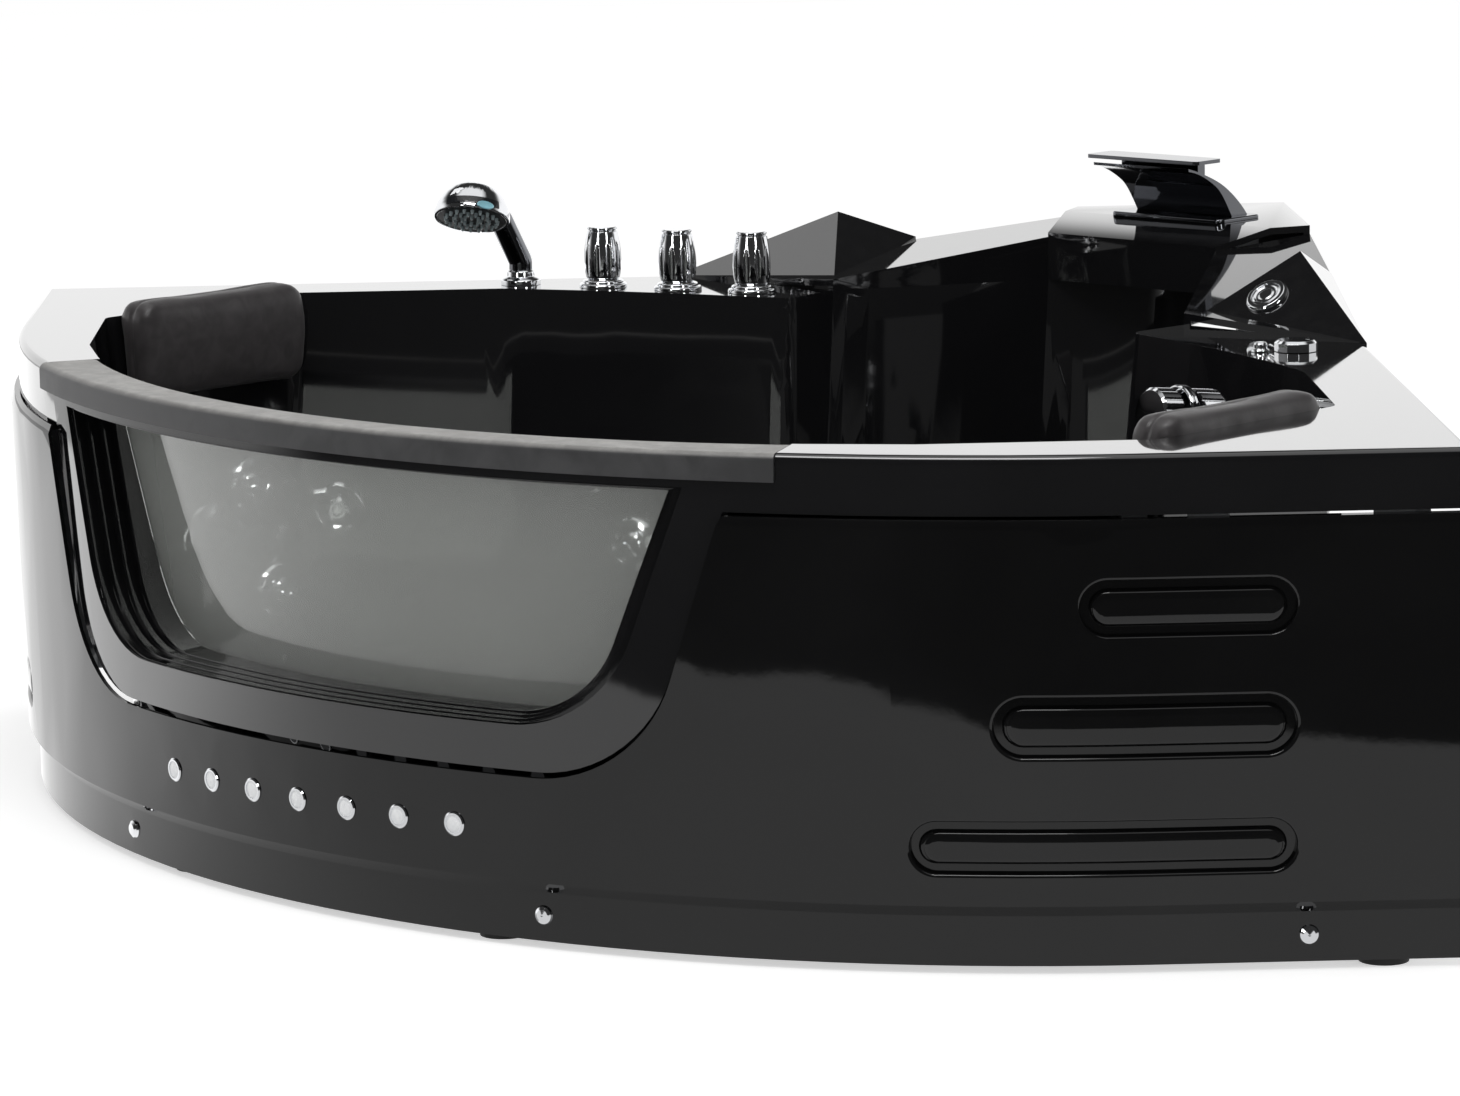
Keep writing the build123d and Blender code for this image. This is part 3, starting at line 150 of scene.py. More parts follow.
def put(nodes, kind, at=(0, 0), **values):
    """Adds a node and sets its attributes."""
    node = nodes.new(kind)
    node.location = at
    for key, value in values.items():
        setattr(node, key, value)
    return node


def group_tree(name, inputs, outputs):
    """An empty node group with float, colour or vector sockets."""
    tree = bpy.data.node_groups.new(name, "ShaderNodeTree")
    for label, kind, value in inputs:
        socket = tree.interface.new_socket(name=label, in_out="INPUT", socket_type=kind)
        if value is not None:
            socket.default_value = value
    for label, kind in outputs:
        tree.interface.new_socket(name=label, in_out="OUTPUT", socket_type=kind)
    return (tree, put(tree.nodes, "NodeGroupInput", (-900, 0)),
            put(tree.nodes, "NodeGroupOutput", (600, 0)))


def moulded_surface():
    """Group: slow ripple, fine grain and wiped haze of a moulded or plated surface."""
    tree, source, sink = group_tree("Moulded surface", [
        ("Coordinates", "NodeSocketVector", None), ("Ripple size", "NodeSocketFloat", 4.0),
        ("Grain size", "NodeSocketFloat", 300.0), ("Grain share", "NodeSocketFloat", 0.2),
        ("Relief", "NodeSocketFloat", 0.05), ("Depth", "NodeSocketFloat", 0.001),
        ("Roughness", "NodeSocketFloat", 0.1), ("Haze", "NodeSocketFloat", 0.05)],
        [("Roughness", "NodeSocketFloat"), ("Normal", "NodeSocketVector"),
         ("Mask", "NodeSocketFloat")])
    nodes, links = tree.nodes, tree.links
    ripple = put(nodes, "ShaderNodeTexNoise", (-650, 150))
    ripple.inputs["Detail"].default_value = 1.5
    grain = put(nodes, "ShaderNodeTexNoise", (-650, -50))
    grain.inputs["Detail"].default_value = 3.0
    haze = put(nodes, "ShaderNodeTexNoise", (-650, -300))
    haze.inputs["Detail"].default_value = 5.0
    haze.inputs["Distortion"].default_value = 0.8
    for node in (ripple, grain, haze):
        links.new(source.outputs["Coordinates"], node.inputs["Vector"])
    links.new(source.outputs["Ripple size"], ripple.inputs["Scale"])
    links.new(source.outputs["Grain size"], grain.inputs["Scale"])
    links.new(source.outputs["Ripple size"], haze.inputs["Scale"])
    blend = put(nodes, "ShaderNodeMix", (-350, 80), data_type="FLOAT")
    links.new(source.outputs["Grain share"], blend.inputs["Factor"])
    links.new(ripple.outputs["Fac"], blend.inputs["A"])
    links.new(grain.outputs["Fac"], blend.inputs["B"])
    bump = put(nodes, "ShaderNodeBump", (-100, 80))
    links.new(source.outputs["Relief"], bump.inputs["Strength"])
    links.new(source.outputs["Depth"], bump.inputs["Distance"])
    links.new(blend.outputs["Result"], bump.inputs["Height"])
    spread = put(nodes, "ShaderNodeMapRange", (-350, -250))
    spread.inputs["From Min"].default_value = 0.35
    spread.inputs["From Max"].default_value = 0.75
    links.new(haze.outputs["Fac"], spread.inputs["Value"])
    scaled = put(nodes, "ShaderNodeMath", (-100, -200), operation="MULTIPLY_ADD")
    links.new(spread.outputs["Result"], scaled.inputs[0])
    links.new(source.outputs["Haze"], scaled.inputs[1])
    links.new(source.outputs["Roughness"], scaled.inputs[2])
    links.new(scaled.outputs["Value"], sink.inputs["Roughness"])
    links.new(bump.outputs["Normal"], sink.inputs["Normal"])
    links.new(spread.outputs["Result"], sink.inputs["Mask"])
    return tree


def dust_and_top_light_group():
    """Group: a mask on faces that look up. It holds dust specks, plus an even share that paints
    their tops lighter, a painted highlight as if lit from above.
    """
    tree, source, sink = group_tree("Dust and painted top light", [
        ("Coordinates", "NodeSocketVector", None), ("Amount", "NodeSocketFloat", 0.05),
        ("Painted top light", "NodeSocketFloat", 0.0)],
        [("Dust and top light mask", "NodeSocketFloat")])
    nodes, links = tree.nodes, tree.links
    specks = put(nodes, "ShaderNodeTexNoise", (-650, 100))
    specks.inputs["Scale"].default_value = 38.0
    specks.inputs["Detail"].default_value = 8.0
    specks.inputs["Roughness"].default_value = 0.75
    links.new(source.outputs["Coordinates"], specks.inputs["Vector"])
    facing = put(nodes, "ShaderNodeNewGeometry", (-650, -150))
    split = put(nodes, "ShaderNodeSeparateXYZ", (-450, -150))
    links.new(facing.outputs["Normal"], split.inputs["Vector"])
    up = put(nodes, "ShaderNodeMapRange", (-250, -150))
    up.inputs["From Min"].default_value = 0.4
    up.inputs["From Max"].default_value = 1.0
    links.new(split.outputs["Z"], up.inputs["Value"])
    sharp = put(nodes, "ShaderNodeMapRange", (-450, 100))
    sharp.inputs["From Min"].default_value = 0.45
    sharp.inputs["From Max"].default_value = 0.8
    links.new(specks.outputs["Fac"], sharp.inputs["Value"])
    # Dust specks times their amount, plus an even share that paints lit tops lighter (painted
    # highlight)
    both = put(nodes, "ShaderNodeMath", (0, 0), operation="MULTIPLY_ADD")
    links.new(sharp.outputs["Result"], both.inputs[0])
    links.new(source.outputs["Amount"], both.inputs[1])
    links.new(source.outputs["Painted top light"], both.inputs[2])
    final = put(nodes, "ShaderNodeMath", (200, 0), operation="MULTIPLY")
    links.new(both.outputs["Value"], final.inputs[0])
    links.new(up.outputs["Result"], final.inputs[1])
    links.new(final.outputs["Value"], sink.inputs["Dust and top light mask"])
    return tree


groups = {}


def shared(name, maker):
    """Builds a node group once and hands it out afterwards."""
    if name not in groups:
        groups[name] = maker()
    return groups[name]


def finish_material(name, base, roughness, *, metallic=0.0, coat=0.0, ripple=4.0, grain=300.0,
                    share=0.2, relief=0.05, depth=0.001, haze=0.05, dust_and_top_light=0.0, painted_top_light=0.0,
                    tone=0.15, sheen=0.0, specular=0.5, coat_roughness=0.03):
    """A procedural finish: base colour with slow variation, haze, relief and dust, with faces
    that look up painted lighter as if lit from above.
    """
    material = bpy.data.materials.new(name)
    material.use_nodes = True
    nodes, links = material.node_tree.nodes, material.node_tree.links
    shader = nodes["Principled BSDF"]
    shader.location = (300, 0)
    shader.inputs["Metallic"].default_value = metallic
    shader.inputs["Coat Weight"].default_value = coat
    shader.inputs["Coat Roughness"].default_value = coat_roughness
    shader.inputs["Sheen Weight"].default_value = sheen
    shader.inputs["Specular IOR Level"].default_value = specular
    coords = put(nodes, "ShaderNodeTexCoord", (-900, 0))
    surface = put(nodes, "ShaderNodeGroup", (-500, -100))
    surface.node_tree = shared("moulded", moulded_surface)
    for label, value in (("Ripple size", ripple), ("Grain size", grain), ("Grain share", share),
                         ("Relief", relief), ("Depth", depth), ("Roughness", roughness),
                         ("Haze", haze)):
        surface.inputs[label].default_value = value
    links.new(coords.outputs["Object"], surface.inputs["Coordinates"])
    links.new(surface.outputs["Roughness"], shader.inputs["Roughness"])
    links.new(surface.outputs["Normal"], shader.inputs["Normal"])
    mix = put(nodes, "ShaderNodeMix", (-150, 200), data_type="RGBA")
    mix.inputs["A"].default_value = (*base, 1.0)
    mix.inputs["B"].default_value = (*[min(1.0, c * (1 + tone) + 0.002) for c in base], 1.0)
    links.new(surface.outputs["Mask"], mix.inputs["Factor"])
    last = mix
    # Dust, and on faces that look up an even painted lightening that stands in for light from
    # above
    if dust_and_top_light:
        dust_and_light_node = put(nodes, "ShaderNodeGroup", (-500, 250))
        dust_and_light_node.node_tree = shared("dust_and_top_light", dust_and_top_light_group)
        dust_and_light_node.inputs["Amount"].default_value = dust_and_top_light
        dust_and_light_node.inputs["Painted top light"].default_value = painted_top_light
        links.new(coords.outputs["Object"], dust_and_light_node.inputs["Coordinates"])
        last = put(nodes, "ShaderNodeMix", (60, 250), data_type="RGBA")
        # Pale colour of the dust, also used to paint the tops lighter as if lit
        last.inputs["B"].default_value = (0.45, 0.44, 0.42, 1.0)
        links.new(dust_and_light_node.outputs["Dust and top light mask"], last.inputs["Factor"])
        links.new(mix.outputs["Result"], last.inputs["A"])
    links.new(last.outputs["Result"], shader.inputs["Base Color"])
    return material


def window_glass(tint):
    """Smoke tinted glass."""
    material = finish_material("Smoked glass", tint, 0.02, haze=0.03, relief=0.01, ripple=2.0,
                               grain=20.0, tone=0.05)
    shader = material.node_tree.nodes["Principled BSDF"]
    shader.inputs["Transmission Weight"].default_value = 0.74
    shader.inputs["IOR"].default_value = 1.5
    return material


def lens_material():
    """Milky lens of the small lights in the apron."""
    material = finish_material("Milky lens", (0.86, 0.87, 0.88), 0.25, relief=0.02, haze=0.1,
                               ripple=60.0)
    shader = material.node_tree.nodes["Principled BSDF"]
    shader.inputs["Emission Color"].default_value = (0.95, 0.97, 1.0, 1.0)
    shader.inputs["Emission Strength"].default_value = 0.12
    return material


made = {}


def material_for(name):
    """The named finish, made from the scene's own values the first time."""
    if name in made:
        return made[name]
    f = bpy.context.scene.bath_finishes
    recipes = {
        "acrylic": lambda: finish_material(
            "Gloss acrylic", f.acrylic, f.acrylic_roughness, coat=1.0, ripple=3.0, grain=90.0,
            share=0.06, relief=0.05, depth=0.002, haze=0.03, dust_and_top_light=0.02),
        "panel": lambda: finish_material(
            "Gloss panel", f.panel, f.panel_roughness, ripple=3.4, grain=60.0, share=0.04,
            relief=0.12, depth=0.004, haze=0.02, tone=0.3),
        "frame": lambda: finish_material(
            "Frame plastic", f.frame_black, 0.06, ripple=12.0, grain=500.0, share=0.2,
            relief=0.05, haze=0.05),
        "glass": lambda: window_glass(f.glass),
        # The rail's strong dust and even top share paint its top lighter, a painted highlight
        # from the light above
        "rail": lambda: finish_material(
            "Rail skin", f.rail, 0.40, ripple=30.0, grain=900.0, share=0.75, relief=0.35,
            depth=0.0006, haze=0.12, dust_and_top_light=0.5, painted_top_light=0.62, tone=0.4),
        # A small even top share paints the pads' tops slightly lighter, as painted light
        "pad": lambda: finish_material(
            "Pad skin", f.pad, 0.34, ripple=60.0, grain=1300.0, share=0.8, relief=0.3,
            depth=0.0005, haze=0.10, dust_and_top_light=0.03, painted_top_light=0.02, tone=0.4, sheen=0.10),
        "chrome": lambda: finish_material(
            "Bright chrome", f.chrome, 0.035, metallic=1.0, ripple=25.0, grain=500.0,
            share=0.1, relief=0.02, depth=0.0005, haze=0.06, tone=0.04),
        "dark_chrome": lambda: finish_material(
            "Dark chrome", f.dark_chrome, 0.05, metallic=1.0, ripple=12.0, grain=500.0,
            share=0.1, relief=0.03, depth=0.0008, haze=0.05, tone=0.1),
        "spray": lambda: finish_material(
            "Spray rubber", (0.018, 0.02, 0.022), 0.35, ripple=50.0, grain=900.0, share=0.6,
            relief=0.2, depth=0.0004, haze=0.1),
        "visor": lambda: finish_material(
            "Smoked visor", (0.012, 0.013, 0.015), 0.05, ripple=160.0, grain=420.0, share=0.4,
            relief=0.6, depth=0.0012, haze=0.05, coat=0.6),
        "tips": lambda: finish_material(
            "Nozzle tips", (0.42, 0.50, 0.52), 0.22, ripple=90.0, relief=0.05, haze=0.1),
        "tab": lambda: finish_material(
            "Spray tab", f.blue_tab, 0.2, ripple=80.0, relief=0.02, haze=0.1, coat=0.5),
        "brass": lambda: finish_material(
            "Valve brass", (0.50, 0.36, 0.15), 0.28, metallic=1.0, ripple=60.0, grain=900.0,
            share=0.6, relief=0.15, depth=0.0004, haze=0.2, tone=-0.25),
        "plastic": lambda: finish_material(
            "Plumbing plastic", f.plastic, 0.42, ripple=30.0, grain=700.0, share=0.6,
            relief=0.12, depth=0.0005, haze=0.15, dust_and_top_light=0.1, tone=-0.12),
        "pipe": lambda: finish_material(
            "White pipe", (0.76, 0.76, 0.74), 0.3, ripple=25.0, grain=500.0, share=0.3,
            relief=0.06, depth=0.0005, haze=0.12, dust_and_top_light=0.1, tone=-0.06),
        "lens": lens_material,
        "steel": lambda: finish_material(
            "Frame paint", f.steel, 0.45, ripple=18.0, grain=420.0, share=0.7, relief=0.2,
            depth=0.0005, haze=0.2, dust_and_top_light=0.15, tone=-0.2),
        "zinc": lambda: finish_material(
            "Zinc plate", (0.58, 0.58, 0.57), 0.32, metallic=1.0, ripple=70.0, grain=600.0,
            share=0.5, relief=0.1, depth=0.0004, haze=0.2, tone=-0.15),
        "rubber": lambda: finish_material(
            "Foot rubber", (0.022, 0.022, 0.022), 0.6, ripple=60.0, grain=800.0, share=0.7,
            relief=0.3, depth=0.0005, haze=0.15, tone=0.4),
        "motor": lambda: finish_material(
            "Motor enamel", (0.03, 0.06, 0.13), 0.3, ripple=25.0, grain=260.0, share=0.7,
            relief=0.25, depth=0.0006, haze=0.18, dust_and_top_light=0.1, coat=0.2),
        "housing": lambda: finish_material(
            "Housing plastic", (0.05, 0.05, 0.055), 0.5, ripple=40.0, grain=700.0, share=0.8,
            relief=0.3, depth=0.0005, haze=0.1, dust_and_top_light=0.1, tone=0.3),
    }
    made[name] = recipes[name]()
    return made[name]


def wear(obj, name):
    """Gives an object one finish."""
    material = material_for(name)
    if obj.material_slots:
        for slot in obj.material_slots:
            slot.material = material
    else:
        obj.data.materials.append(material)
    return obj


# Mesh helpers

crisp_edge = radians(34)    # faces that meet more sharply stay sharp, on rounded pieces
soft_edge = radians(40)     # the same, on the shower's small pieces


def alone(obj):
    """Selects one object and makes it active."""
    bpy.ops.object.select_all(action="DESELECT")
    obj.select_set(True)
    bpy.context.view_layer.objects.active = obj
    return obj


def edit_all(obj):
    """Opens one object in edit mode with all of it selected."""
    alone(obj)
    bpy.ops.object.mode_set(mode="EDIT")
    bpy.ops.mesh.select_all(action="SELECT")


def bake_modifiers(obj):
    """Applies every modifier of an object, in order."""
    alone(obj)
    for modifier in list(obj.modifiers):
        bpy.ops.object.modifier_apply(modifier=modifier.name)
    return obj


def merged_copy(node, name):
    """A copy of a CAD node's mesh as one closed surface."""
    source = frame["nodes"][node]
    copy = bpy.data.objects.new(name, source.data.copy())
    bpy.context.scene.collection.objects.link(copy)
    edit_all(copy)
    bpy.ops.mesh.customdata_custom_splitnormals_clear()
    bpy.ops.mesh.remove_doubles(threshold=0.00002)
    bpy.ops.mesh.dissolve_limited(angle_limit=radians(0.35))
    bpy.ops.object.mode_set(mode="OBJECT")
    return copy


def rounded(node, name, finish, body, width, angle=28.0, segments=2):
    """Stands for a CAD node with its edges rounded."""
    piece = merged_copy(node, name)
    edge = piece.modifiers.new("Edge rounding", "BEVEL")
    edge.width = width
    edge.segments = segments
    edge.limit_method = "ANGLE"
    edge.angle_limit = radians(angle)
    edge.miter_outer = "MITER_ARC"
    edge.use_clamp_overlap = True
    bake_modifiers(piece)
    bpy.ops.object.shade_smooth_by_angle(angle=crisp_edge)
    even = piece.modifiers.new("Even shading", "WEIGHTED_NORMAL")
    even.weight = 100
    even.keep_sharp = True
    bake_modifiers(piece)
    wear(piece, finish)
    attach(piece, body)
    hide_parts(node)
    return piece


def keep_node(node, finish):
    """Keeps a CAD node as it is and gives it a finish."""
    return wear(frame["nodes"][node], finish)


class BathOperator(bpy.types.Operator):
    """Base of the bath's operators"""
    bl_options = {"REGISTER", "UNDO"}


class OBJECT_OT_bath_shell(BathOperator):
    """Rounds the edges of the moulded shell and polishes it"""
    bl_idname = "object.bath_shell"
    bl_label = "Shell"

    def execute(self, context):
        rounded("tub_shell", "shell_moulding", "acrylic", "tub",
                context.scene.bath_shapes.shell_round)
        return {"FINISHED"}


crown_columns, crown_rows = 60, 14
crown_sink = 0.0004         # how far a cap's edge lies inside its pill
crown_wall = 0.0012
before_apron = -0.9         # where the rays that find the apron's front start


def pill_crown(apron, start, low, high, shapes):
    """A crowned cap that follows one of the long raised pills in the apron's slots."""
    margin = shapes.pill_margin
    left, right = start + margin, shapes.slot_end - margin
    radius = (high - low) / 2 - margin
    half = (right - left) / 2 - radius
    middle = ((left + right) / 2, (low + high) / 2)
    bpy.ops.object.select_all(action="DESELECT")
    bpy.ops.mesh.primitive_grid_add(x_subdivisions=crown_columns, y_subdivisions=crown_rows,
                                    size=2.0)
    cap = bpy.context.object
    cap.name = "slot_crown"
    for vertex in cap.data.vertices:
        a, b = vertex.co.x, sin(radians(90) * max(-1.0, min(1.0, vertex.co.y)))
        x = a * (half + radius * max(0.0, 1 - b * b) ** 0.5)
        z = b * radius
        far = min(1.0, (max(abs(x) - half, 0.0) ** 2 + z * z) ** 0.5 / radius)
        rise = shapes.pill_crown * max(0.0, 1 - far * far) ** 0.5 - crown_sink
        spot = Vector((middle[0] + x, before_apron, middle[1] + z))
        hit, place, _, _ = apron.ray_cast(spot, Vector((0, 1, 0)))
        if not hit:
            raise RuntimeError("a slot's crown misses the apron")
        vertex.co = Vector((spot.x, place.y - rise, spot.z))
    edit_all(cap)
    bpy.ops.mesh.normals_make_consistent(inside=False)
    bpy.ops.object.mode_set(mode="OBJECT")
    if sum(face.normal.y * face.area for face in cap.data.polygons) > 0:
        cap.data.flip_normals()
    back = cap.modifiers.new("Back", "SOLIDIFY")
    back.thickness = crown_wall
    back.offset = -1.0
    bake_modifiers(cap)
    bpy.ops.object.shade_smooth()
    return cap


class OBJECT_OT_bath_apron(BathOperator):
    """Rounds the apron, and finishes its lights, screws, brackets and clips"""
    bl_idname = "object.bath_apron"
    bl_label = "Apron"

    def execute(self, context):
        shapes = context.scene.bath_shapes
        apron = rounded("front_apron", "apron_pressing", "panel", "tub",
                        shapes.apron_round, angle=40.0)
        for number, (start, low, high) in enumerate(slot_places, 1):
            cap = pill_crown(apron, start, low, high, shapes)
            other = bpy.data.objects.new("slot_crown", cap.data.copy())
            context.scene.collection.objects.link(other)
            for vertex in other.data.vertices:
                vertex.co = Vector((vertex.co.y, vertex.co.x, vertex.co.z))
            other.data.flip_normals()
            for side, piece in (("right", cap), ("left", other)):
                piece.name = f"slot_crown_{side}_{number}"
                wear(piece, "panel")
                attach(piece, "tub")
        for node, finish in (("led_rings", "chrome"), ("led_lenses", "lens"),
                             ("apron_screws", "chrome"), ("apron_brackets", "steel"),
                             ("apron_clips", "steel")):
            keep_node(node, finish)
        return {"FINISHED"}


class OBJECT_OT_bath_window(BathOperator):
    """Finishes the stepped window frame and the smoked glass"""
    bl_idname = "object.bath_window"
    bl_label = "Window"

    def execute(self, context):
        rounded("window_frame", "frame_moulding", "frame", "tub",
                context.scene.bath_shapes.trim_round * 2)
        keep_node("window_glass", "glass")
        return {"FINISHED"}


class OBJECT_OT_bath_rail(BathOperator):
    """Finishes the padded rail over the window"""
    bl_idname = "object.bath_rail"
    bl_label = "Rail"

    def execute(self, context):
        rounded("rail_cap", "rail_skin", "rail", "tub",
                context.scene.bath_shapes.rail_round, angle=40.0, segments=3)
        return {"FINISHED"}


seam_half = 0.0038          # half the width of a sewn line
seam_lean = 0.06            # how far a line leans towards the wall, for each metre up
seam_facing = 1.4           # how fast a line fades where the skin turns to the front or back


def draw_seam(pad, out, shapes):
    """Draws in a sewn line all round a pad, at a set distance from the wall behind it."""
    back = min(v.co.dot(out) for v in pad.data.vertices)
    middle = sum(v.co.z for v in pad.data.vertices) / len(pad.data.vertices)
    for vertex in pad.data.vertices:
        lean = (vertex.co.z - middle) * seam_lean
        away = abs(vertex.co.dot(out) - back + lean - shapes.seam_level) / seam_half
        side = max(0.0, 1.0 - abs(vertex.normal.dot(out)) * seam_facing)
        if away < 1.0 and side:
            vertex.co -= vertex.normal * shapes.seam_depth * (1 - away * away) * side


def seat_pad(node, name, out, shapes):
    """Inflates a copy of a headrest's solid by cloth simulation, smooths and seams it."""
    pad = merged_copy(node, name)
    pad.data.remesh_voxel_size = shapes.pad_voxel
    bpy.ops.object.voxel_remesh()
    before = [v.co.copy() for v in pad.data.vertices]
    cloth = pad.modifiers.new("Skin", "CLOTH")
    cloth.settings.use_pressure = True
    cloth.settings.uniform_pressure_force = 4.0
    cloth.settings.effector_weights.gravity = 0.0
    cloth.settings.quality = 5
    cloth.point_cache.frame_start = 1
    cloth.point_cache.frame_end = shapes.pad_steps
    for step in range(1, shapes.pad_steps + 1):
        bpy.context.scene.frame_set(step)
    bpy.ops.object.modifier_apply(modifier=cloth.name)
    bpy.context.scene.frame_set(1)
    for vertex, start in zip(pad.data.vertices, before):
        move = vertex.co - start
        if move.length > shapes.pad_swell:
            move = move * (shapes.pad_swell / move.length)
        vertex.co = start + move
    relax = pad.modifiers.new("Relax", "SMOOTH")
    relax.factor = 0.5
    relax.iterations = 9
    finer = pad.modifiers.new("Finer", "SUBSURF")
    finer.levels = finer.render_levels = 1
    bake_modifiers(pad)
    draw_seam(pad, out, shapes)
    bpy.ops.object.shade_smooth()
    return pad


class OBJECT_OT_bath_headrests(BathOperator):
    """Makes both headrests as soft pads"""
    bl_idname = "object.bath_headrests"
    bl_label = "Headrests"

    def execute(self, context):
        shapes = context.scene.bath_shapes
        for side, out in (("left", (1, -1, 0)), ("right", (-1, 1, 0))):
            pad = seat_pad(f"headrest_{side}", f"pad_{side}", Vector(out).normalized(), shapes)
            wear(pad, "pad")
            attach(pad, "tub")
            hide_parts(f"headrest_{side}")
        keep_node("headrest_plugs", "zinc")
        return {"FINISHED"}


class OBJECT_OT_bath_taps(BathOperator):
    """Finishes the taps, their flanges and valves"""
    bl_idname = "object.bath_taps"
    bl_label = "Taps"

    def execute(self, context):
        width = context.scene.bath_shapes.trim_round
        for side in ("hot", "diverter", "cold"):
            rounded(f"tap_handle_{side}", f"barrel_{side}", "chrome",
                    f"tap_handle_{side}", width)
        rounded("tap_flanges", "tap_bases", "chrome", "tub", width)
        keep_node("tap_valves", "brass")
        return {"FINISHED"}


head_centre = Vector((-0.2265, 0.6555, 0.5985))
head_facing = Vector((-0.1, -0.45, -0.89)).normalized()
head_across = Vector((1.0, 0.0, -0.118))
head_across = (head_across - head_facing * head_across.dot(head_facing)).normalized()
head_up = head_facing.cross(head_across)
dome_line = ((-0.043, 0.0), (-0.0405, 0.017), (-0.0335, 0.030), (-0.0235, 0.0385),
             (-0.013, 0.0435), (-0.004, 0.0455), (0.002, 0.0455))


def dome_radius(height):
    """Radius of the shower's dome at a height along its axis."""
    for (low, inner), (high, outer) in zip(dome_line, dome_line[1:]):
        if low <= height <= high:
            return inner + (outer - inner) * (height - low) / (high - low)
    return dome_line[-1][1]


visor_from = -0.0335        # where the visor's solid starts, along the head's axis
visor_to = -0.012           # where it is laid instead
visor_squash = 0.46
visor_proud = 0.0009        # most that it stands over the dome


def face_and_visor():
    """Splits the spray face from the visor, and lays the visor close above the rim."""
    edit_all(merged_copy("shower_face", "spray_plate"))
    bpy.ops.mesh.separate(type="LOOSE")
    bpy.ops.object.mode_set(mode="OBJECT")
    parts = sorted(bpy.context.selected_objects,
                   key=lambda o: sum((v.co - head_centre).dot(head_facing)
                                     for v in o.data.vertices) / len(o.data.vertices))
    visor, plate = parts[0], parts[-1]
    visor.name, plate.name = "visor_band", "spray_plate"
    edit_all(visor)
    bpy.ops.mesh.subdivide(number_cuts=2)
    bpy.ops.object.mode_set(mode="OBJECT")
    for vertex in visor.data.vertices:
        offset = vertex.co - head_centre
        height = offset.dot(head_facing)
        spoke = offset - head_facing * height
        proud = max(0.0, spoke.length - dome_radius(height)) if spoke.length else 0.0
        low = (height - visor_from) * visor_squash + visor_to
        spoke = spoke.normalized() * (dome_radius(low) + min(proud, visor_proud))
        vertex.co = head_centre + head_facing * low + spoke
    bpy.ops.object.shade_smooth_by_angle(angle=soft_edge)
    return plate, visor


tip_rows = ((0.011, 8), (0.021, 14), (0.031, 20))   # radius of each ring of tips, and its count
tip_root, tip_end, tip_length = 0.0025, 0.0016, 0.0056
tip_round = 0.0005
tip_lift = 0.0009           # how far the tips' roots stand over the head's middle


def nozzle_tips():
    """Rows of small rounded nozzles that stand out of the spray face."""
    bpy.ops.object.select_all(action="DESELECT")
    bpy.ops.mesh.primitive_cone_add(vertices=10, radius1=tip_root, radius2=tip_end,
                                    depth=tip_length, location=(0, 0, tip_length / 2))
    first = bpy.context.object
    bpy.ops.object.transform_apply(location=True, rotation=True, scale=True)
    edit_all(first)
    bpy.ops.mesh.bevel(offset=tip_round, segments=2)
    bpy.ops.object.mode_set(mode="OBJECT")
    turn = Matrix((head_across, head_up, head_facing)).transposed().to_4x4()
    tips = []
    for radius, count in tip_rows:
        for index in range(count):
            angle = radians(360 / count * index)
            spot = (head_centre + head_facing * tip_lift
                    + (head_across * cos(angle) + head_up * sin(angle)) * radius)
            tip = bpy.data.objects.new("tip", first.data.copy())
            bpy.context.scene.collection.objects.link(tip)
            tip.data.transform(Matrix.Translation(spot) @ turn)
            tips.append(tip)
    bpy.data.objects.remove(first, do_unlink=True)
    bpy.ops.object.select_all(action="DESELECT")
    for tip in tips:
        tip.select_set(True)
    bpy.context.view_layer.objects.active = tips[0]
    bpy.ops.object.join()
    joined = bpy.context.object
    joined.name = "nozzle_tips"
    bpy.ops.object.shade_smooth_by_angle(angle=soft_edge)
    return joined


tab_turn = radians(71)      # where the tab sits round the rim, from across to up
tab_reach = 0.0447          # from the head's axis to the tab's underside
tab_back = 0.002            # behind the spray face


def spray_tab(width):
    """The small oval tab on the rim of the shower's head, that changes its spray."""
    bpy.ops.object.select_all(action="DESELECT")
    bpy.ops.mesh.primitive_circle_add(vertices=32, radius=width / 2, fill_type="NGON")
    tab = bpy.context.object
    tab.name = "spray_tab"
    edit_all(tab)
    bpy.ops.transform.resize(value=(1.0, 0.46, 1.0))
    bpy.ops.mesh.extrude_region_move(TRANSFORM_OT_translate={"value": (0, 0, width * 0.09)})
    bpy.ops.mesh.inset(thickness=width * 0.035)
    bpy.ops.transform.translate(value=(0, 0, width * 0.03))
    bpy.ops.mesh.inset(thickness=width * 0.05)
    bpy.ops.transform.translate(value=(0, 0, -width * 0.02))
    bpy.ops.mesh.select_all(action="SELECT")
    bpy.ops.mesh.normals_make_consistent(inside=False)
    bpy.ops.object.mode_set(mode="OBJECT")
    out = head_across * cos(tab_turn) + head_up * sin(tab_turn)
    along = out.cross(head_facing)
    centre = head_centre + out * tab_reach - head_facing * tab_back
    turn = Matrix((along, out.cross(along), out)).transposed().to_4x4()
    tab.data.transform(Matrix.Translation(centre) @ turn)
    alone(tab)
    bpy.ops.object.shade_smooth_by_angle(angle=soft_edge)
    return tab


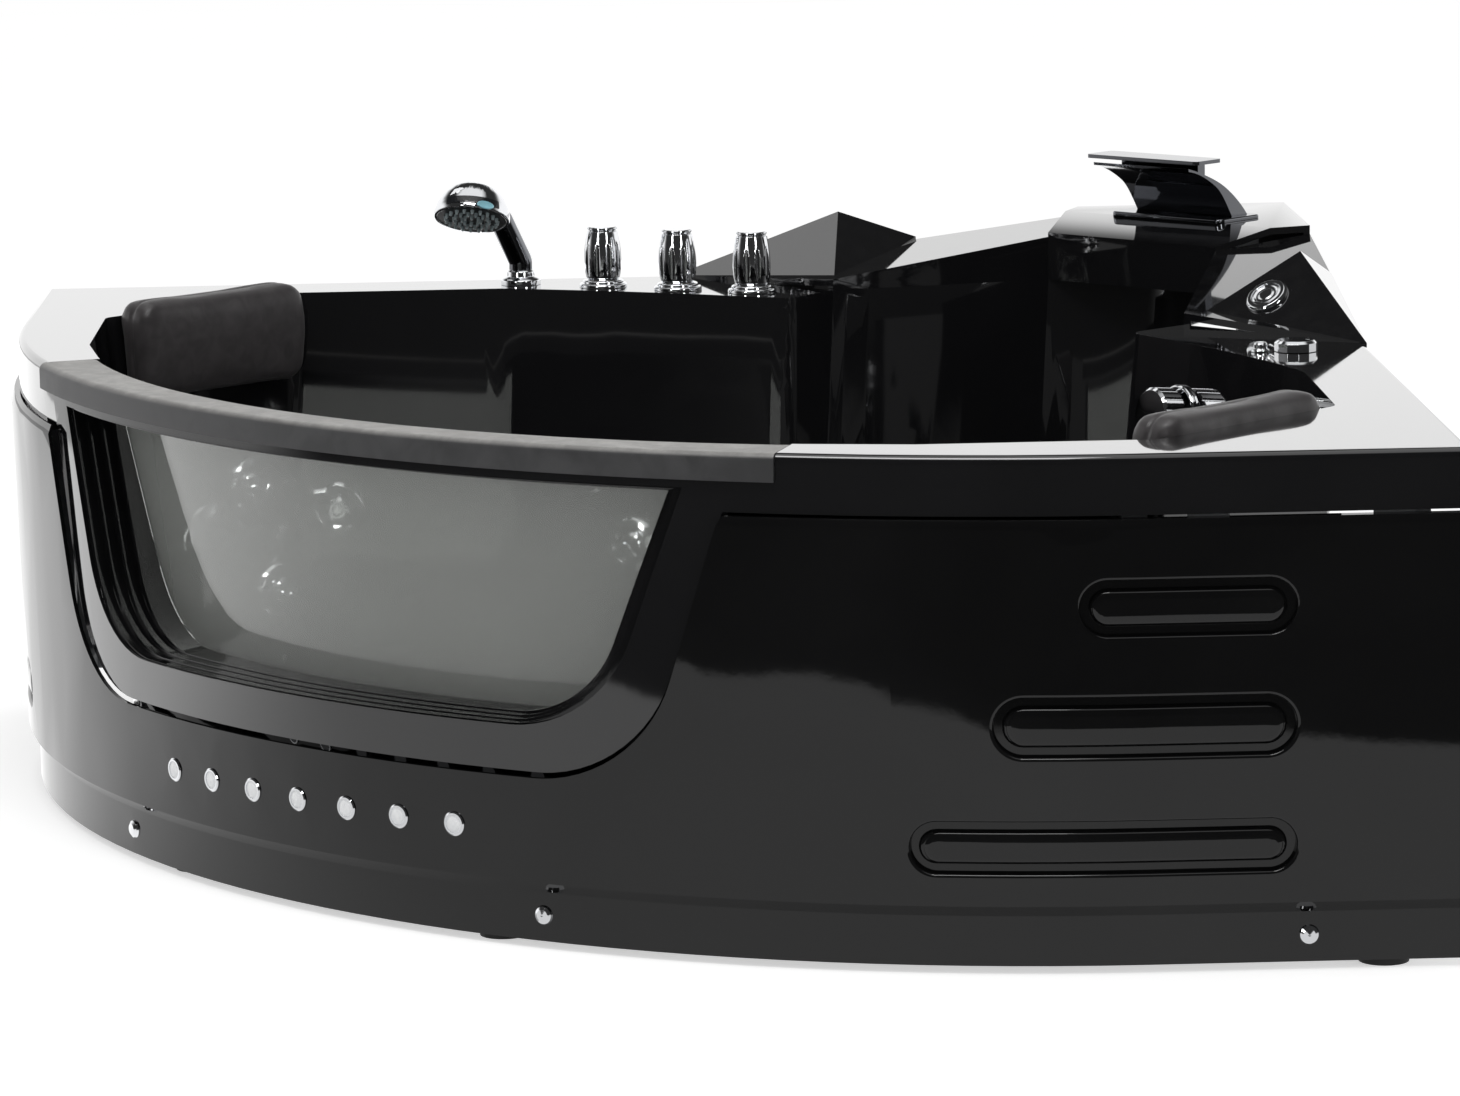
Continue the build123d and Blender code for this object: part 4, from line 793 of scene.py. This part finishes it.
class OBJECT_OT_bath_shower(BathOperator):
    """Finishes the hand shower and its collar, and adds the spray tab"""
    bl_idname = "object.bath_shower"
    bl_label = "Hand shower"

    def execute(self, context):
        width = context.scene.bath_shapes.trim_round
        rounded("shower_holder", "shower_collar", "chrome", "tub", width)
        rounded("shower_head", "shower_dome", "chrome", "hand_shower", width,
                angle=40.0)
        rounded("shower_handle", "shower_grip", "dark_chrome", "hand_shower",
                width)
        plate, visor = face_and_visor()
        for piece, finish in ((plate, "spray"), (visor, "visor"), (nozzle_tips(), "tips"),
                              (spray_tab(context.scene.bath_shapes.tab_width), "tab")):
            wear(piece, finish)
            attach(piece, "hand_shower")
        for piece in (plate, visor):
            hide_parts("shower_face")
        return {"FINISHED"}


class OBJECT_OT_bath_spout(BathOperator):
    """Finishes the waterfall spout"""
    bl_idname = "object.bath_spout"
    bl_label = "Spout"

    def execute(self, context):
        width = context.scene.bath_shapes.trim_round
        rounded("waterfall_spout", "spout_blade", "dark_chrome", "tub", width * 2)
        rounded("spout_base", "spout_plate", "dark_chrome", "tub", width)
        keep_node("spout_shank", "brass")
        return {"FINISHED"}


class OBJECT_OT_bath_fittings(BathOperator):
    """Finishes the jets, buttons, waste and overflow"""
    bl_idname = "object.bath_fittings"
    bl_label = "Fittings"

    def execute(self, context):
        width = context.scene.bath_shapes.trim_round
        for node, finish, slot, body in (
                ("jet_rings", "chrome", "chrome", "tub"),
                ("overflow_knob", "chrome", "chrome", "overflow_knob"),
                ("overflow_flange", "chrome", "chrome", "tub"),
                ("suction_cover", "chrome", "chrome", "tub"),
                ("button_ring", "chrome", "chrome", "tub"),
                ("air_button", "chrome", "chrome", "air_button"),
                ("air_knob", "chrome", "chrome", "air_knob"),
                ("drain_plug", "chrome", "chrome", "drain_plug"),
                ("bleed_cap", "chrome", "chrome", "tub")):
            rounded(node, f"{node}_dressed", finish, body, width)
        for number in range(1, 9):
            rounded(f"jet_nozzle_{number}", f"nozzle_{number}", "chrome",
                    f"jet_nozzle_{number}", width)
        for node, finish in (("air_jets", "chrome"), ("drain_flange", "chrome"),
                             ("jet_bodies", "frame"), ("suction_body", "frame"),
                             ("button_body", "frame"), ("air_valve", "brass")):
            keep_node(node, finish)
        return {"FINISHED"}


class OBJECT_OT_bath_underside(BathOperator):
    """Finishes the frame, feet, pump, pipes and control box"""
    bl_idname = "object.bath_underside"
    bl_label = "Underside"

    def execute(self, context):
        for node, finish in (("support_frame", "steel"), ("foot_pads", "rubber"),
                             ("foot_studs", "zinc"), ("foot_nuts", "zinc"),
                             ("pump_motor", "motor"), ("pump_head", "plastic"),
                             ("water_pipe", "pipe"), ("drain_trap", "plastic"),
                             ("overflow_pipe", "plastic"), ("air_blower", "housing"),
                             ("control_box", "housing")):
            keep_node(node, finish)
        return {"FINISHED"}


# Studio

# Each lamp's place, what it is aimed at, its width, height and power
boxes = {
    "Back left box": ((-1.35, 2.25, 2.95), (0.05, 0.55, 0.55), 0.95, 0.95, 3.0),
    "Ceiling box": ((-0.4, -1.2, 3.2), (0.0, 0.1, 0.3), 1.8, 0.9, 30.0),
}
strips = {
    "Left strip": ((-2.6, -3.4, 1.7), (-0.2, 0.0, 0.4), 0.70, 2.4, 37.0),
    "Right strip": ((2.4, -3.6, 1.7), (0.3, 0.0, 0.4), 0.62, 2.4, 33.0),
}


def area_light(name, place, look_at, width, height, power):
    """A soft rectangular light aimed at a point."""
    data = bpy.data.lights.new(name, "AREA")
    data.shape = "RECTANGLE"
    data.size, data.size_y = width, height
    data.energy = power
    lamp = bpy.data.objects.new(name, data)
    lamp.location = place
    lamp.rotation_euler = (Vector(look_at) - Vector(place)).to_track_quat("-Z", "Y").to_euler()
    lamp.visible_camera = False
    bpy.context.scene.collection.objects.link(lamp)
    return lamp


def shine_on_metal(lamps):
    """Lets lamps light only the plated pieces, so that the shell keeps plain reflections."""
    metal = bpy.data.collections.new("Plated pieces")
    plated = {made["chrome"], made["dark_chrome"]}
    for obj in bpy.context.scene.objects:
        if any(slot.material in plated for slot in obj.material_slots):
            metal.objects.link(obj)
    for lamp in lamps:
        lamp.light_linking.receiver_collection = metal


def seen_directly(nodes, links, at):
    """1 where the camera looks straight or through glass, 0 in every other ray."""
    path = put(nodes, "ShaderNodeLightPath", at)
    either = put(nodes, "ShaderNodeMath", (at[0] + 200, at[1]), operation="MAXIMUM")
    links.new(path.outputs["Is Camera Ray"], either.inputs[0])
    links.new(path.outputs["Is Transmission Ray"], either.inputs[1])
    return either.outputs["Value"], path.outputs["Is Glossy Ray"]


def ramp(nodes, links, source, low, high, bottom=0.0, top=1.0, at=(0, 0)):
    """A smooth step of a value."""
    step = put(nodes, "ShaderNodeMapRange", at, interpolation_type="SMOOTHSTEP")
    for label, value in (("From Min", low), ("From Max", high), ("To Min", bottom),
                         ("To Max", top)):
        step.inputs[label].default_value = value
    links.new(source, step.inputs["Value"])
    return step.outputs["Result"]


def world_light(studio):
    """White to the eye; in gloss a white wall behind, a soft ceiling and dark elsewhere."""
    world = bpy.data.worlds.new("Studio")
    bpy.context.scene.world = world
    world.use_nodes = True
    nodes, links = world.node_tree.nodes, world.node_tree.links
    nodes.clear()
    coords = put(nodes, "ShaderNodeTexCoord", (-1100, -100))
    split = put(nodes, "ShaderNodeSeparateXYZ", (-900, -100))
    links.new(coords.outputs["Generated"], split.inputs["Vector"])
    behind = ramp(nodes, links, split.outputs["Y"], -0.35, 0.35, at=(-700, 0))
    low = ramp(nodes, links, split.outputs["Z"], 0.62, 0.24, at=(-700, -250))
    wall = put(nodes, "ShaderNodeMath", (-500, -100), operation="MULTIPLY")
    links.new(behind, wall.inputs[0])
    links.new(low, wall.inputs[1])
    level = ramp(nodes, links, wall.outputs["Value"], 0.0, 1.0, studio.dark_level,
                 studio.wall_level, at=(-300, -100))
    ceiling = ramp(nodes, links, split.outputs["Z"], 0.80, 0.93, 0.0, studio.ceiling_level,
                   at=(-300, -400))
    both = put(nodes, "ShaderNodeMath", (-150, -200), operation="ADD")
    links.new(level, both.inputs[0])
    links.new(ceiling, both.inputs[1])
    gloss = put(nodes, "ShaderNodeBackground", (0, -100))
    links.new(both.outputs["Value"], gloss.inputs["Strength"])
    soft = put(nodes, "ShaderNodeBackground", (0, 100))
    soft.inputs["Strength"].default_value = studio.soft_level
    white = put(nodes, "ShaderNodeBackground", (0, -300))
    for node in (soft, gloss, white):
        node.inputs["Color"].default_value = (1.0, 1.0, 1.0, 1.0)
    direct, glossy = seen_directly(nodes, links, (-100, 350))
    first = put(nodes, "ShaderNodeMixShader", (250, 0))
    second = put(nodes, "ShaderNodeMixShader", (450, 0))
    links.new(glossy, first.inputs[0])
    links.new(soft.outputs[0], first.inputs[1])
    links.new(gloss.outputs[0], first.inputs[2])
    links.new(direct, second.inputs[0])
    links.new(first.outputs[0], second.inputs[1])
    links.new(white.outputs[0], second.inputs[2])
    links.new(second.outputs[0], put(nodes, "ShaderNodeOutputWorld", (650, 0)).inputs[0])


def floor_material(studio):
    """Pale floor: near white to the eye, and in gloss white around and behind the bath."""
    material = bpy.data.materials.new("Studio floor")
    material.use_nodes = True
    nodes, links = material.node_tree.nodes, material.node_tree.links
    nodes.clear()
    matte = put(nodes, "ShaderNodeBsdfDiffuse", (-200, 200))
    matte.inputs["Color"].default_value = (*studio.floor, 1.0)
    lift_up = put(nodes, "ShaderNodeEmission", (-200, 50))
    lift_up.inputs["Strength"].default_value = studio.floor_glow
    bright = put(nodes, "ShaderNodeAddShader", (0, 150))
    links.new(matte.outputs[0], bright.inputs[0])
    links.new(lift_up.outputs[0], bright.inputs[1])
    coords = put(nodes, "ShaderNodeTexCoord", (-1300, -200))
    split = put(nodes, "ShaderNodeSeparateXYZ", (-1100, -200))
    links.new(coords.outputs["Object"], split.inputs["Vector"])
    front = put(nodes, "ShaderNodeMath", (-900, -300), operation="MINIMUM")
    front.inputs[1].default_value = 0.0
    links.new(split.outputs["Y"], front.inputs[0])
    across = put(nodes, "ShaderNodeMath", (-900, -100), operation="MULTIPLY")
    across.inputs[1].default_value = 0.7
    links.new(split.outputs["X"], across.inputs[0])
    flat = put(nodes, "ShaderNodeCombineXYZ", (-700, -200))
    links.new(across.outputs["Value"], flat.inputs["X"])
    links.new(front.outputs["Value"], flat.inputs["Y"])
    size = put(nodes, "ShaderNodeVectorMath", (-500, -200), operation="LENGTH")
    links.new(flat.outputs["Vector"], size.inputs[0])
    wave = put(nodes, "ShaderNodeTexNoise", (-700, -400))
    wave.inputs["Scale"].default_value = 1.2
    wave.inputs["Detail"].default_value = 3.0
    links.new(coords.outputs["Object"], wave.inputs["Vector"])
    edge = put(nodes, "ShaderNodeMath", (-400, -300), operation="MULTIPLY_ADD")
    edge.inputs[1].default_value = 0.5
    links.new(wave.outputs["Fac"], edge.inputs[0])
    links.new(size.outputs["Value"], edge.inputs[2])
    reach = ramp(nodes, links, edge.outputs["Value"], studio.white_reach,
                 studio.white_reach + 0.06, studio.near_level, studio.far_level,
                 at=(-300, -200))
    behind = ramp(nodes, links, split.outputs["Y"], -0.6, 0.3, 0.0, studio.back_level,
                  at=(-500, -500))
    level = put(nodes, "ShaderNodeMath", (-100, -350), operation="ADD")
    links.new(reach, level.inputs[0])
    links.new(behind, level.inputs[1])
    gloss = put(nodes, "ShaderNodeEmission", (-100, -200))
    links.new(level.outputs["Value"], gloss.inputs["Strength"])
    direct, glossy = seen_directly(nodes, links, (-200, 450))
    direct_mix = put(nodes, "ShaderNodeMixShader", (200, 200))
    links.new(direct, direct_mix.inputs[0])
    links.new(matte.outputs[0], direct_mix.inputs[1])
    links.new(bright.outputs[0], direct_mix.inputs[2])
    gloss_mix = put(nodes, "ShaderNodeMixShader", (400, 100))
    links.new(glossy, gloss_mix.inputs[0])
    links.new(direct_mix.outputs[0], gloss_mix.inputs[1])
    links.new(gloss.outputs[0], gloss_mix.inputs[2])
    links.new(gloss_mix.outputs[0], put(nodes, "ShaderNodeOutputMaterial", (600, 0)).inputs[0])
    return material


class OBJECT_OT_bath_stage(BathOperator):
    """Lays the floor, hangs the lights and sets the camera"""
    bl_idname = "object.bath_stage"
    bl_label = "Studio"

    def execute(self, context):
        scene = context.scene
        studio = scene.bath_studio
        bpy.ops.mesh.primitive_plane_add(size=24.0, location=(0, 0, 0))
        floor = context.object
        floor.name = "studio_floor"
        floor.data.materials.append(floor_material(studio))
        world_light(studio)
        for name, plan in boxes.items():
            area_light(name, *plan)
        shine_on_metal([area_light(name, *plan) for name, plan in strips.items()])
        data = bpy.data.cameras.new("Camera")
        data.lens = studio.lens
        data.sensor_width = 36.0
        data.clip_end = 100.0
        camera = bpy.data.objects.new("Camera", data)
        scene.collection.objects.link(camera)
        ahead = Vector((-sin(studio.yaw) * cos(studio.pitch),
                        cos(studio.yaw) * cos(studio.pitch), -sin(studio.pitch)))
        right = Vector((cos(studio.yaw), sin(studio.yaw), 0.0))
        up = right.cross(ahead)
        right, up = (right * cos(studio.roll) + up * sin(studio.roll),
                     up * cos(studio.roll) - right * sin(studio.roll))
        turn = Matrix((right, up, -ahead)).transposed().to_4x4()
        camera.matrix_world = Matrix.Translation(Vector(studio.place)) @ turn
        scene.camera = camera
        scene.view_settings.view_transform = "Standard"
        return {"FINISHED"}


class VIEW3D_PT_bath(bpy.types.Panel):
    """Lists the bath's pieces"""
    bl_label = "Corner bath"
    bl_space_type = "VIEW_3D"
    bl_region_type = "UI"
    bl_category = "Bath"

    def draw(self, context):
        for operator in steps:
            self.layout.operator(operator.bl_idname)
        for group in ("bath_finishes", "bath_shapes", "bath_studio"):
            held = getattr(context.scene, group)
            for key in held.__annotations__:
                self.layout.prop(held, key)


steps = (OBJECT_OT_bath_shell, OBJECT_OT_bath_apron, OBJECT_OT_bath_window, OBJECT_OT_bath_rail,
         OBJECT_OT_bath_headrests, OBJECT_OT_bath_taps, OBJECT_OT_bath_shower,
         OBJECT_OT_bath_spout, OBJECT_OT_bath_fittings, OBJECT_OT_bath_underside,
         OBJECT_OT_bath_stage)
classes = (BathFinishes, BathShapes, BathStudio, *steps, VIEW3D_PT_bath)


def register():
    """Registers the classes and their settings."""
    for one in classes:
        bpy.utils.register_class(one)
    bpy.types.Scene.bath_finishes = PointerProperty(type=BathFinishes)
    bpy.types.Scene.bath_shapes = PointerProperty(type=BathShapes)
    bpy.types.Scene.bath_studio = PointerProperty(type=BathStudio)


def unregister():
    """Takes them away again."""
    for name in ("bath_studio", "bath_shapes", "bath_finishes"):
        delattr(bpy.types.Scene, name)
    for one in reversed(classes):
        bpy.utils.unregister_class(one)


def main():
    """Dresses the bath step by step."""
    register()
    for step in steps:
        family, name = step.bl_idname.split(".")
        getattr(getattr(bpy.ops, family), name)()


if __name__ == "__main__":
    main()
